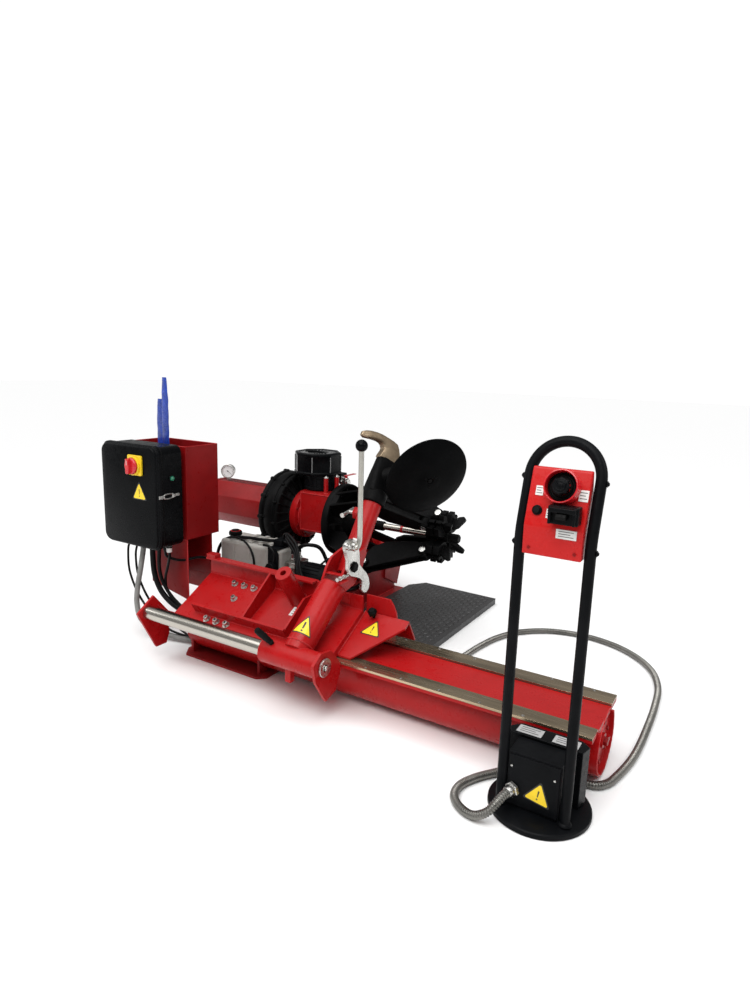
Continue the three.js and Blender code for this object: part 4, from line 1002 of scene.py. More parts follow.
def make_hoses():
    """Pressure hoses and leads between fixed housings; they stay on the machine's own body."""
    big = Part()
    runs = [
        ([(-1515, 530, 360), (-1515, 528, 392), (-1560, 520, 416), (-1660, 512, 408), (-1770, 506, 404),
          (-1880, 500, 388), (-1928, 480, 340), (-1932, 462, 250), (-1900, 452, 190)], 8),
        ([(-1515, 580, 360), (-1512, 584, 385), (-1470, 600, 398), (-1430, 640, 372), (-1410, 690, 250),
          (-1425, 760, 140), (-1432, 900, 104), (-1440, 1020, 100)], 9),
        ([(-1510, 474, 295), (-1508, 452, 292), (-1470, 432, 270), (-1400, 424, 236), (-1300, 420, 215),
          (-1200, 420, 200), (-1120, 412, 170), (-1050, 396, 140)], 8),
        ([(-1510, 474, 255), (-1500, 450, 250), (-1440, 430, 226), (-1340, 412, 205), (-1230, 408, 185),
          (-1100, 408, 168), (-1010, 398, 150), (-985, 388, 140)], 8),
        ([(-1510, 474, 215), (-1520, 452, 212), (-1580, 440, 200), (-1640, 432, 180), (-1700, 440, 150),
          (-1690, 500, 112), (-1600, 620, 96), (-1560, 800, 60), (-1555, 980, 40), (-1556, 1062, 60)], 8),
    ]
    for k in range(3):
        runs.append(([(-1572 + 14 * k, 540, 420), (-1566 + 10 * k, 536, 446), (-1530,
                                                                               520 - 6 * k, 452 - 12 * k),
                      (-1470, 500 - 6 * k, 420 - 20 * k), (-1430, 470 - 6 * k, 360 - 26 * k),
                      (-1400, 452 - 6 * k, 300 - 26 * k), (-1330, 446 - 6 * k, 236 - 8 * k)], 7))
    for points, r in runs:
        big.tube(smooth_path(points, 8), r, 12)
    big.done("pressure_hoses", "cable", "machine")
    leads = Part()
    wires = [
        ([(-1430, 632, 300), (-1400, 660, 330), (-1392, 690, 300), (-1420, 740, 200), (-1500, 760, 120),
          (-1640, 700, 110)], 5),
        ([(-1860, 478, 398), (-1800, 474, 404), (-1740, 470, 385), (-1700, 466, 330), (-1690, 464, 240)], 5),
        ([(-1640, 470, 398), (-1600, 468, 396), (-1570, 466, 360), (-1585, 464, 300), (-1640, 464, 262),
          (-1760, 462, 258), (-1870, 460, 230)], 6),
    ]
    for points, r in wires:
        leads.tube(smooth_path(points, 8), r, 10)
    leads.done("power_pack_leads", "cable", "machine")


# ------------------------------------------------------------------ column, bin and electrical box
def rounded(u0, u1, v0, v1, r, n=8):
    """A rectangle (u, v) with rounded corners."""
    out = []
    for cu, cv, a0 in ((u1 - r, v0 + r, -90), (u1 - r, v1 - r, 0), (u0 + r, v1 - r, 90),
                       (u0 + r, v0 + r, 180)):
        for k in range(n + 1):
            a = math.radians(a0 + 90 * k / n)
            out.append((cu + r * math.cos(a), cv + r * math.sin(a)))
    return out


def make_enclosure():
    """Door and gasket of the electrical box."""
    door = Part()
    layers = [(0.3, 13), (1.6, 9.6), (5, 8), (8.6, 8), (9.4, 5), (12, 3.4), (15, 3.2), (16, 0.6),
              (30, 0), (32.4, 1)]
    outline = rounded(-2153, -1801, 438, 882, 38, 10)
    mid_x, mid_z, half_width, half_height = -1977.0, 660.0, 176, 222
    door.loft([[((u - mid_x) * (1 - inset / half_width) + mid_x, y,
                 (v - mid_z) * (1 - inset / half_height) + mid_z)
                for u, v in outline] for y, inset in layers])
    door.done("door_shell", "plastic", "door", smooth=24, replaces=("enclosure_door",))
    gasket = Part()
    loop = [(u, 34.6, v) for u, v in rounded(-2149, -1805, 443, 877, 33, 8)]
    gasket.tube(loop + [loop[0]], 2.6, 8, caps=False)
    gasket.done("door_gasket", "rubber", "machine")


def make_isolator():
    """Yellow plate and red knob of the main switch, with the sign below it."""
    plate = Part()
    face = [(u, -0.4, v) for u, v in rounded(-1964, -1880, 754, 838, 7)]
    plate.prism(face, (0, -9, 0))
    plate.done("isolator_plate", "yellow", "door", bevel=1.5, replaces=("switch_plate",))
    collar = Part()
    collar.lathe([(0, 0), (39, 0), (39.5, 2), (39.5, 7), (37, 8.6), (0, 8.6)], (-1925, -9.4, 794), FRONT, 64)
    collar.done("isolator_collar", "yellow", "door")
    knob = Part()
    knob.lathe([(0, 0), (34, 0), (35, 2), (34.4, 8), (31, 12), (26, 13.4), (0, 14.2)], (-1925, -18.4, 794),
               FRONT, 64)
    grip = [(-1934, -30, 763), (-1916, -30, 763), (-1914, -30, 794), (-1917, -30, 826), (-1933, -30, 826),
            (-1936, -30, 794)]
    knob.prism(grip, (0, -15.5, 0))
    knob.done("isolator_knob", "knob_red", "switch_knob", bevel=2.4, replaces=("main_switch_knob",))
    line = Part().box(-1926.2, -1923.8, -46, -45.3, 800, 819)
    line.done("isolator_line", "white", "switch_knob")
    sign("door_sign", (-1907, 0, 677), FRONT, UP, 52, "door")


def make_lamp():
    """Green lamp on the side of the box."""
    lamp = Part()
    lamp.lathe([(0, 0), (15, 0), (15, 3), (13, 4.4), (10.5, 4.4), (9.5, 3)], (-1805.9, 84, 742), RIGHT, 40)
    lamp.done("lamp_bezel", "plastic", "machine")
    lens = Part()
    lens.lathe([(10.4, 0), (10.4, 3), (9, 6.4), (5, 9), (0, 10)], (-1804, 84, 742), RIGHT, 40)
    lens.done("lamp_lens", "green", "machine", replaces=("indicator_lamp",))


def make_door_clip():
    """Toggle clip, its keeper and catch, and the hinges on the far side."""
    keeper = Part()
    keeper.box(-1805.8, -1803.0, 92, 122, 664, 676)
    keeper.box(-1803.2, -1797, 86, 95, 664, 676)
    keeper.rod((-1801, 104, 670), (-1797.5, 104, 670), 3, 12, 0.6)
    keeper.rod((-1801, 117, 670), (-1797.5, 117, 670), 3, 12, 0.6)
    keeper.done("clip_base", "zinc", "machine", bevel=0.8)
    clip = Part()
    clip.tube(smooth_path([(-1802, 84, 678), (-1800, 60, 680), (-1800, 40, 678),
                           (-1800, 36, 670), (-1800, 40, 662), (-1800, 60, 660), (-1802, 84, 662)], 5), 3.0,
                           10)
    clip.rod((-1801, 84, 661), (-1801, 84, 679), 3.4, 14, 0.8)
    clip.done("clip_lever", "zinc", "clip", bevel=0.8, replaces=("latch_clip",))
    catch = Part()
    catch.box(-1800.8, -1797.6, 10, 30, 663, 677)
    catch.rod((-1799, 14, 670), (-1794, 14, 670), 3.4, 14, 0.6)
    catch.done("clip_catch", "zinc", "door", bevel=0.6)
    hinge = Part()
    for z in (520, 800):
        hinge.rod((-2157, 34, z - 26), (-2157, 34, z + 26), 5, 20, 1)
    hinge.done("door_hinges", "plastic", "door")


def make_box_fittings():
    """Plain blocks inside the box and the glands under it."""
    inside = Part()
    for x0, x1 in ((-2095, -2025), (-2015, -1950), (-1940, -1865)):
        inside.box(x0 + 2, x1 - 2, 68, 128, 662, 738)
        inside.box(x0 + 6, x1 - 12, 82, 128, 542, 603)
    inside.done("contactors", "white", "machine", bevel=2)
    glands = Part()
    for x, r in ((-2091, 9), (-2038, 9), (-1998, 14), (-1939, 14), (-1895, 10), (-1860, 9), (-1834, 12)):
        glands.hexagon((x, 84, 444), (0, 0, -1), r * 2.1, 8)
        glands.rod((x, 84, 436), (x, 84, 420), r * 0.92, 24, 2)
    glands.done("box_glands", "cable", "machine")
    white = Part()
    white.hexagon((-1834, 84, 444.2), (0, 0, -1), 25, 9)
    white.rod((-1834, 84, 436), (-1834, 84, 417), 11.6, 24, 2)
    white.done("box_white_gland", "white", "machine")


def make_box_cables():
    """Leads that leave the underside of the box and run to the base."""
    thin = Part()
    runs = [
        ([(-2091, 84, 424), (-2091, 74, 380), (-2070, 62, 290), (-2010, 60, 190), (-1930, 70, 110),
          (-1850, 96, 50), (-1728, 150, 16)], 5),
        ([(-2038, 84, 424), (-2038, 72, 370), (-2012, 62, 280), (-1950, 66, 180), (-1880, 90, 110),
          (-1728, 118, 24)], 5),
        ([(-1895, 84, 424), (-1900, 84, 380), (-1906, 90, 320), (-1896, 100, 260), (-1856, 112, 200),
          (-1800, 130, 150), (-1760, 146, 126), (-1708, 152, 112)], 8),
        ([(-1834, 84, 420), (-1838, 88, 396), (-1866, 100, 340), (-1892, 108, 280), (-1886, 114, 220),
          (-1840, 124, 170), (-1780, 146, 130), (-1708, 160, 118)], 6),
        ([(-1860, 84, 424), (-1860, 96, 390), (-1832, 150, 366), (-1812, 240, 362), (-1800, 330, 330),
          (-1790, 400, 290), (-1780, 452, 230)], 6),
    ]
    for points, r in runs:
        thin.tube(smooth_path(points, 10), r, 10)
    thin.done("box_leads", "cable", "machine")
    thick = Part()
    thick.tube(smooth_path([(-1939, 84, 424), (-1938, 82, 380), (-1932, 84, 300), (-1906, 92, 230),
                            (-1860, 104, 180), (-1800, 130, 136), (-1760, 140, 116), (-1708, 146, 100)], 10),
                            12, 14)
    thick.done("box_supply_lead", "cable", "machine")
    grey = Part()
    pts = resample(smooth_path([(-1998, 84, 424), (-1999, 80, 390), (-2004, 66, 310), (-2008, 50, 230),
                                (-2006, 42, 160), (-1984, 44, 90), (-1920, 70, 44), (-1830, 104, 22),
                                (-1728, 135, 18)], 16), 2.0)
    grey.tube(pts, 12, 14, [12.2 if i % 3 else 10.8 for i in range(len(pts))])
    grey.done("box_conduit", "grey_cable", "machine")


def make_levers():
    """Two tyre levers wrapped in film."""
    for name, node, x0, w, y, z0, z1, seed in (
        ("wrapped_lever_long", "tyre_lever_long", -2041, 43, 249, 463.5, 1152, 1),
        ("wrapped_lever_short", "tyre_lever_short", -2096, 48, 267, 463.5, 1054, 2),
    ):
        rng = random.Random(seed)
        part = Part()
        rows, cols = 70, 16
        rings = []
        for i in range(rows + 1):
            t = i / rows
            z = z0 + (z1 - z0) * t
            half = w / 2 * (1 - 0.35 * max(0, t - 0.86) / 0.14)
            thick = 4.4 * (1 - 0.5 * max(0, t - 0.9) / 0.1)
            ring = []
            for a in angles(cols):
                fold = 0.9 * math.sin(z * 0.09 + 3 * a) + 0.8 * rng.random()
                ring.append((x0 + w / 2 + (half - 1 + fold) * math.cos(a),
                             y + (thick - 0.4 + fold * 0.5) * math.sin(a), z))
            rings.append(ring)
        part.loft(rings)
        part.done(name, "blue", "lever_long" if "long" in name else "lever_short",
                  smooth=60, replaces=(node,))


def make_column_details():
    """Welds, bolts and rim of the column and tool bin."""
    part = Part()
    part.weld((-2043, 164.6, 456), (-1816, 164.6, 456), 2.6)
    part.weld((-1811.6, 167, 184), (-1811.6, 167, 456), 2.4)
    part.weld((-1702, 332, 264), (-1650, 332, 264), 2.4)
    part.done("column_welds", "weld", "machine")
    bolts = Part()
    for x in (-1990, -1860):
        for z in (560, 780):
            bolts.bolt((x, 353.2, z), BACK, 9)
    for x in (-2020, -1840):
        bolts.bolt((x, 315.4, 420), BACK, 9)
    bolts.done("bin_bolts", "zinc", "machine")
    rim = Part()
    rim.tube([(-2148, 167, 866.5), (-1808, 167, 866.5), (-1808, 351, 866.5), (-2148, 351, 866.5),
              (-2148, 167, 866.5)],
             1.8, 8, caps=False)
    rim.done("bin_rim", "weld", "machine")


# ------------------------------------------------------------------ bed and base
def make_bed_details():
    """End bolts, rail screws, welds and seams of the bed."""
    bolts = Part()
    for k in range(6):
        a = 2 * math.pi * (k + 0.25) / 6
        bolts.bolt((-5.6, 158 + 72 * math.cos(a), 118 + 72 * math.sin(a) * 0.82 - 8), RIGHT, 7)
    bolts.hexagon((4, 158, 118), RIGHT, 26, 12)
    # the end bolts take the darker red: painted shade
    bolts.done("bed_end_bolts", "red_painted_shade", "machine")
    screws = Part()
    profile = [(0, 0), (5.4, 0), (5.4, 0.4), (3.2, 0.4), (2.6, 0.1), (0, 0.1)]
    for i in range(12):
        for y in (12, 305):
            screws.lathe(profile, (-70 - i * 142, y, 201), UP, 20)
    screws.done("rail_screws", "steel", "machine")
    welds = Part()
    welds.weld((-1698, 61, 187), (-2, 61, 187), 0.1)
    welds.ring_weld((8.6, 158, 118), RIGHT, 106, 1.8, math.radians(40), math.radians(280))
    welds.weld((-258, 83, 8.6), (-62, 83, 8.6), 2.2)
    welds.done("bed_welds", "weld", "machine")
    # thin near-black lines along the rail edges: painted shade in the seams
    lines = Part()
    for y in (63.6, 244.4):
        lines.weld((-1698, y, 193.6), (-2, y, 193.6), 0.9)
    lines.done("rail_seam_painted_shade", "painted_shade_black", "machine")


def make_base_details():
    """Welds of the base and nuts of the pivot pin."""
    welds = Part()
    for x in (-1722, -1638, -1502, -1418):
        welds.weld((x, 300, 9), (x, 1326, 9), 2.4)
    for x in (-1701, -1681):
        welds.weld((x, 1122, 89), (x, 1326, 89), 2.6)
    welds.weld((-1400.6, 982, 9.2), (-1400.6, 1282, 9.2), 3.0)
    welds.weld((-1401.4, 1173, 104), (-1401.4, 1308, 35), 2.4)
    welds.done("base_welds", "weld", "machine")
    pin = Part()
    for x, s in ((-1720, -1), (-1370, 1)):
        pin.lathe([(0, 0), (30, 0), (33, 2), (33, 5), (0, 5)], (x, 1250, 240), (s, 0, 0), 48)
        pin.hexagon((x + 5 * s, 1250, 240), (s, 0, 0), 36, 14)
    pin.done("pivot_nuts", "zinc", "machine")


def make_platform():
    """Raised studs and rim of the wheel platform."""
    part = Part()
    edge = [(-1330, 450), (-845, 450), (-845, 1414), (-1268, 1428), (-1330, 1340)]

    def inside(x, y, margin=7):
        for (ax, ay), (bx, by) in zip(edge, edge[1:] + edge[:1]):
            length = math.hypot(bx - ax, by - ay)
            if ((bx - ax) * (y - ay) - (by - ay) * (x - ax)) / length < margin:
                return False
        return True

    step = 26.0
    rows = int(990 / step) + 1
    for i in range(-1, int(495 / step) + 1):
        for j in range(rows):
            x = -1330 + (i + 0.5) * step
            y = 450 + (j + 0.5) * step
            turn = math.radians(45 if (i + j) % 2 else -45)
            c, s = math.cos(turn), math.sin(turn)
            base = [(-12.5, 0), (-5, -3.4), (5, -3.4), (12.5, 0), (5, 3.4), (-5, 3.4)]
            pts = [(x + c * u - s * v, y + s * u + c * v) for u, v in base]
            if not all(inside(px, py) for px, py in pts):
                continue
            top = [(x + 0.62 * (px - x), y + 0.62 * (py - y)) for px, py in pts]
            part.solid([(px, py, 30.9) for px, py in pts] + [(px, py, 33.2) for px, py in top],
                       [(6, 7, 8, 9, 10, 11)] + [(k, (k + 1) % 6, 6 + (k + 1) % 6, 6 + k) for k in range(6)])
    # the studs' lighter colour is a painted highlight
    part.done("platform_tread", "tread_stud_painted_highlight", "machine", smooth=20)
    rim = Part()
    loop = [(x, y, 29) for x, y in edge]
    rim.tube(loop + [loop[0]], 2.0, 8, caps=False)
    rim.done("platform_rim", "tread", "machine")


# ------------------------------------------------------------------ carriage
def make_carriage():
    """Screws, welds, post and labels of the carriage and its guard."""
    a = SLOPE_ANGLE
    normal = Vector((0, -math.sin(a), math.cos(a)))
    screws = Part()
    for x, y in SLOPE_SCREWS:
        z = slope(y)[1]
        screws.puck((x, y, z), normal, 15, 2.4, 28)
        screws.socket(Vector((x, y, z)) + normal * 2.4, normal, 19, 15)
    screws.done("slope_screws", "zinc", "carriage")
    # near-black hexagons in the screw heads: painted shade in the recesses
    recess = Part()
    for x, y in SLOPE_SCREWS:
        recess.puck(Vector((x, y, slope(y)[1])) + normal * 12.4, normal, 5.3, 0.6, 6)
    recess.done("slope_screw_recess_painted_shade", "painted_shade_black", "carriage")
    welds = Part()
    rib = slope(3, 1.5)
    welds.weld((-1596, rib[0], rib[1]), (-1124, rib[0], rib[1]), 2.6)
    welds.weld((-1686, 184, slope(184)[1] + 2), (-1125, 184, slope(184)[1] + 2), 2.8)
    for x in (-1340, -1121):
        welds.weld((x, 16, slope(16)[1] + 1), (x, 184, slope(184)[1] + 1), 2.4)
    welds.ring_weld((-1190, 160, slope(160)[1] + 6), (0, -0.53, 0.85), 34, 3.0)
    welds.weld((-1684, SHAFT[0] + 62, 200), (-912, SHAFT[0] + 62, 200), 1.6)
    welds.weld((-884.5, -60, 250), (-884.5, -6, 190), 2.4)
    welds.weld((-1749, -60, 240), (-1749, -6, 190), 2.4)
    welds.done("carriage_welds", "weld", "carriage")
    top = Vector((-1190, 64, 452))
    direction = (top - Vector((-1190, 164, 308))).normalized()
    ring = Part()
    ring.lathe([(12.4, 0), (12.4, 1.2), (31.5, 1.2), (32.6, 0)], top, direction, 40)
    ring.done("post_rim", "red", "carriage")
    # near-black disc down the post: painted shade in its bore
    hole = Part().puck(top - direction * 28, direction, 12.2, 0.9, 32)
    hole.done("post_bore_painted_shade", "painted_shade_black", "carriage")
    ly = 112
    label("carriage_label", (-1161, ly, slope(ly)[1]), normal, (0, math.cos(a), math.sin(a)),
          52, 44, "carriage")
    sign("guard_sign", (-839, 146, 210 + (146 - 28) * 109 / 185.0), GUARD_NORMAL,
         (0, 0.8616, 0.5076), 49, "carriage")
    seams = Part()
    seams.weld((-909, 30, 213), (-909, 212, 320), 2.2)
    seams.weld((-908, 217, 315), (-776, 217, 315), 2.2)
    seams.weld((-995, 186, 330), (-912, 188, 330), 3.0)
    seams.done("guard_seam", "weld", "carriage")
    tab = Part()
    tab.box(-1013, -962, 180.5, 186.4, 343, 384)
    tab.done("carriage_tab", "red", "carriage", bevel=2)


def make_slide_shaft():
    """Ground bar that the tool arm slides on."""
    shaft = Part()
    shaft.rod((-1759.5, *SHAFT), (-872, *SHAFT), 28, 72, 1.6)
    shaft.done("slide_shaft", "chrome", "carriage", replaces=("guide_shaft",))
    washer = Part()
    washer.lathe([(0, 0), (31, 0), (33, 1.4), (33, 6.6), (31.4, 8), (12, 8)], (-872.8, *SHAFT), RIGHT, 64)
    washer.hexagon((-865, *SHAFT), RIGHT, 17, 6)
    washer.rod((-859, *SHAFT), (-857.6, *SHAFT), 5, 20, 0.5)
    washer.done("shaft_washer", "zinc", "carriage")


def make_guard_knob():
    """Five-lobed hand knob on the rail guard."""
    knob = Part()
    base = Vector((-862, 196, 309.3))
    knob.rod(base, base + GUARD_NORMAL * 20, 5.5, 20, 1)
    knob.lathe([(0, 15), (9, 15), (14, 18), (16.5, 25), (16, 34), (11, 42), (0, 43.5)],
               base, GUARD_NORMAL, 40)
    for d in around(GUARD_NORMAL, 5):
        knob.rod(base + GUARD_NORMAL * 19 + d * 13, base + GUARD_NORMAL * 36 + d * 13, 5, 16, 2)
    knob.done("guard_hand_knob", "rubber", "knob", replaces=("guard_knob",))


# ------------------------------------------------------------------ tool arm and head
def make_tool_arm():
    """Tool arm, its sleeve liner, welds and sign."""
    arm = Part()
    arm.lathe([(33.4, 0), (43.6, 0), (45, 1.4), (45, 241.6), (43.6, 243), (33.4, 243), (33.4, 0)],
              (-1130, *SHAFT), RIGHT, 72)
    arm.rod(lower(22), lower(305), 51, 80, 2)
    arm.rod(upper(-300), upper(0), 40, 72, 1.5)
    arm.box(-1032, -1008, -118, -94, 130, 186)
    cheek = [(100, 392), (112, 440), (138, 486), (170, 518), (214, 530), (280, 545), (290, 520),
             (262, 470), (214, 416)]
    for x in (-1049, -971):
        arm.prism([(x, y, z) for y, z in cheek], (10, 0, 0))
    arm.rod((-962, 172, 496), (-940, 172, 496), 14, 28, 1)
    arm.done("tool_arm_body", "red", "arm", bevel=1.4, smooth=28, replaces=("tool_arm",))
    bush = Part()
    bush.lathe([(28.4, 0), (33.2, 0), (33.2, 239), (28.4, 239), (28.4, 0)], (-1128, *SHAFT), RIGHT, 64)
    bush.done("sleeve_liner", "bronze", "sleeve", replaces=("sleeve_bush",))
    flange = Part()
    flange.box(-1052, -958, 132, 150, 462, 468)
    flange.done("latch_ledge", "red", "arm", bevel=1.4)
    welds = Part()
    welds.ring_weld(lower(50), LOWER, 51.8, 3.2)
    for x in (-1130, -887):
        welds.ring_weld((x + (1.5 if x < -1000 else -1.5), *SHAFT), RIGHT, 44.6, 1.8)
    welds.done("arm_welds", "weld", "arm")
    end = Part()
    end.lathe([(0, 0), (50.6, 0), (50.8, 1), (0, 1.2)], lower(305), LOWER, 56)
    end.done("arm_end_cap", "red", "arm")
    top_side = Vector((0, -LOWER.z, LOWER.y))
    out = top_side * math.cos(0.2) + Vector(RIGHT) * math.sin(0.2)
    flat_sign_on_tube("arm_sign", lower(98), LOWER, out, 51, 48, "arm")


def make_sleeve_handle():
    """Rubber grip on the sliding sleeve."""
    handle = Part()
    p = Vector((-1085, -128, 266))
    handle.rod((-1085, -126.6, 263.2), (-1085, -132, 274), 9, 24, 1)
    tip = Vector((-1118, -164, 316))
    d = (tip - p).normalized()
    handle.lathe([(0, -4), (8, -3), (10, 2), (11, 12), (12.4, 30), (12.8, 52), (11.6, 66), (7, 71), (0, 72)],
                 p + d * 6, d, 32)
    handle.done("sleeve_grip", "rubber", "handle", replaces=("sleeve_handle",))


def make_index_pin():
    """Pull pin that fixes the turning head, and its boss."""
    boss = Part()
    boss.hexagon((-1039, 360, 652), (-1, 0, 0), 46, 26)
    boss.hexagon((-1066, 360, 652), (-1, 0, 0), 30, 2)
    boss.done("index_boss", "red", "arm", bevel=2)
    pin = Part()
    pin.rod((-1096, 360, 652), (-1030, 360, 652), 7.6, 28, 1)
    bar_a, bar_b = Vector((-1095, 316, 645)), Vector((-1095, 398, 659))
    pin.rod(bar_a, bar_b, 7, 24, 2.4)
    pin.lathe([(0, 0), (9, 0), (10, 3), (9, 8), (0, 9)], bar_a - (bar_b - bar_a).normalized() * 4,
              bar_b - bar_a, 24)
    pin.done("index_handle", "zinc", "pin", replaces=("index_pin",))
    label("arm_label", upper(-190, -1005) + Vector((0.30, -0.6, 0.42)).normalized() * 40.6,
          Vector((0.30, -0.79, 0.54)), UPPER, 34, 50, "arm")


def flat_sign_on_tube(name, centre, axis, out, radius, size, body):
    """A triangular sign wrapped round a tube."""
    axis, out = Vector(axis).normalized(), Vector(out).normalized()
    side = axis.cross(out)
    point = Vector(centre)

    def wrap(u, v, lift):
        a = u / radius
        return point + axis * v + (out * math.cos(a) + side * math.sin(a)) * (radius + lift)

    def sheet(s, lift, mat, suffix):
        part = Part()
        rows = 14
        top, bottom = s, -s * 0.5
        half = s * math.sin(math.radians(60))
        grid = []
        for i in range(rows + 1):
            t = i / rows
            v = bottom + (top - bottom) * t
            w = half * (1 - t) + 0.6
            grid.append([wrap(w * (2 * k / 10 - 1), v, lift) for k in range(11)])
        for a, b in zip(grid, grid[1:]):
            for k in range(10):
                part.solid([a[k], a[k + 1], b[k + 1], b[k]], [(0, 1, 2, 3)])
        part.done(name + suffix, mat, body, smooth=60)

    sheet(size, 0.5, "sign_black", "_border")
    sheet(size * 0.82, 0.8, "sign_yellow", "_field")
    mark = Part()
    for v0, v1, w in ((-4, 18, 2.4), (-13, -8, 2.6)):
        v0, v1, w = v0 * size / 40, v1 * size / 40, w * size / 40
        mark.solid([wrap(-w, v0, 1.1), wrap(w, v0, 1.1), wrap(w * 1.3, v1, 1.1), wrap(-w * 1.3, v1, 1.1)],
                   [(0, 1, 2, 3)])
    mark.done(name + "_mark", "sign_black", body)


LATCH_X = -955  # the latch plate's left face


def make_latch():
    """Latch plate, stud, bosses, rod and ball."""
    x0 = LATCH_X
    outer = Part()
    outline = [(118, 560), (110, 578), (114, 594), (130, 604), (160, 606), (190, 590), (204, 566), (212, 530),
               (214, 496), (236, 474), (262, 452), (280, 426), (287, 400), (281, 380), (264, 370), (246, 374),
               (228, 390), (234, 408), (232, 426), (214, 440), (186, 452), (156, 462), (138, 474), (131, 500),
               (132, 526)]
    outer.prism([(x0 + 0.4, y, z) for y, z in outline], (13.2, 0, 0))
    outer.done("latch_plate", "zinc", "latch", bevel=2.6, segments=3, replaces=("latch_hook",))
    stud = Part()
    stud.lathe([(0, 0), (19, 0), (21, 2), (21, 6), (19, 8), (12, 8.6), (0, 8.6)],
               (x0 + 14.4, 172, 496), RIGHT, 6, math.pi / 6)
    stud.done("latch_stud_head", "cast", "arm", bevel=1)
    boss = Part()
    boss.rod((x0 + 13, 158, 578), (x0 + 30, 158, 578), 17, 32, 2.4)
    boss.rod((x0 + 10, 124, 584), (x0 + 22, 124, 584), 12, 28, 2)
    boss.hexagon((x0 + 22, 124, 584), RIGHT, 14, 6)
    boss.done("latch_bosses", "zinc", "latch")
    lx = x0 + 34
    rod = Part()
    rod.tube(smooth_path([(x0 + 20, 156, 577), (x0 + 28, 160, 575), (lx - 2, 166, 580),
                          (lx, 172, 596), (lx, 175, 620), (lx, 174, 700), (lx, 173, 820), (lx, 172, 940)], 8),
                          9.6, 20)
    rod.done("latch_rod", "lever", "latch", replaces=("latch_lever",))
    ball = Part()
    ball.lathe([(22.5 * math.sin(math.pi * k / 20), -22.5 * math.cos(math.pi * k / 20)) for k in range(21)],
               (lx, 172, 950), UP, 48)
    ball.done("latch_ball", "plastic", "latch", smooth=60)


def make_latch_adjuster():
    """Adjusting screw in its bracket."""
    x0 = LATCH_X
    screw = Part()
    screw.rod((x0 + 7, 78, 470), (x0 + 7, 146, 470), 4.6, 20, 0.8)
    for y in (92, 116):
        screw.hexagon((x0 + 7, y, 470), BACK, 15, 7)
    screw.hexagon((x0 + 7, 72, 470), BACK, 13, 7)
    screw.done("latch_adjuster", "zinc", "latch")
    bracket = Part()
    bracket.box(-960, -936, 84, 132, 452, 458)
    bracket.done("latch_bracket", "red", "arm", bevel=1)


def hook_frame():
    """The hook's directions: across the head, along it, and through its thickness."""
    along = UPPER.copy()
    across = Vector((-0.4, -0.76 * 0.998, 0.512)).normalized()
    thick = across.cross(along).normalized()
    across = along.cross(thick)
    return across, along, thick


def make_tool_head():
    """Cast head with its neck and disc bracket."""
    part = Part()
    part.lathe([(0, 0), (46, 0), (50, 3), (50, 44), (47, 50), (41, 56), (0, 56)], upper(0.3), UPPER, 64)
    # tapering four-sided neck between the collar and the hook
    across, _, thick = hook_frame()
    square = 0.62  # under 1 makes the neck's section squarer than an ellipse
    rings = []
    for d, w, t in ((44, 50, 42), (70, 52, 38), (110, 52, 32), (150, 50, 27), (182, 49, 23), (196.2, 47, 21)):
        ring = []
        for a in angles(20):
            ca, sa = math.cos(a), math.sin(a)
            u = w * math.copysign(abs(ca) ** square, ca)
            v = t * math.copysign(abs(sa) ** square, sa)
            ring.append(upper(d) + across * u + thick * v)
        rings.append(ring)
    part.loft(rings)
    tip = DISC_C - DISC_N * 44
    root = upper(120)
    part.tube([root.lerp(tip, t / 8) for t in range(9)], 30, 24, [38, 36, 34, 31, 29, 28, 27, 28, 30])
    part.rod(DISC_C - DISC_N * 58, DISC_C - DISC_N * 8.4, 31, 40, 3)
    part.done("head_casting", "cast", "head", smooth=40, bevel=1.6, replaces=("tool_head",))
    dimple = Part()
    c = upper(150) + thick * -22
    other = upper(150) + thick * 22
    camera = Vector(CAMERA_PLACE)
    if (c - camera).length > (other - camera).length:
        c = other
    dimple.lathe([(0, 0), (9, 0), (9, 3), (5, 3), (4, 1), (0, 1)], c, c - upper(150), 28)
    dimple.done("head_plug", "cast", "head")


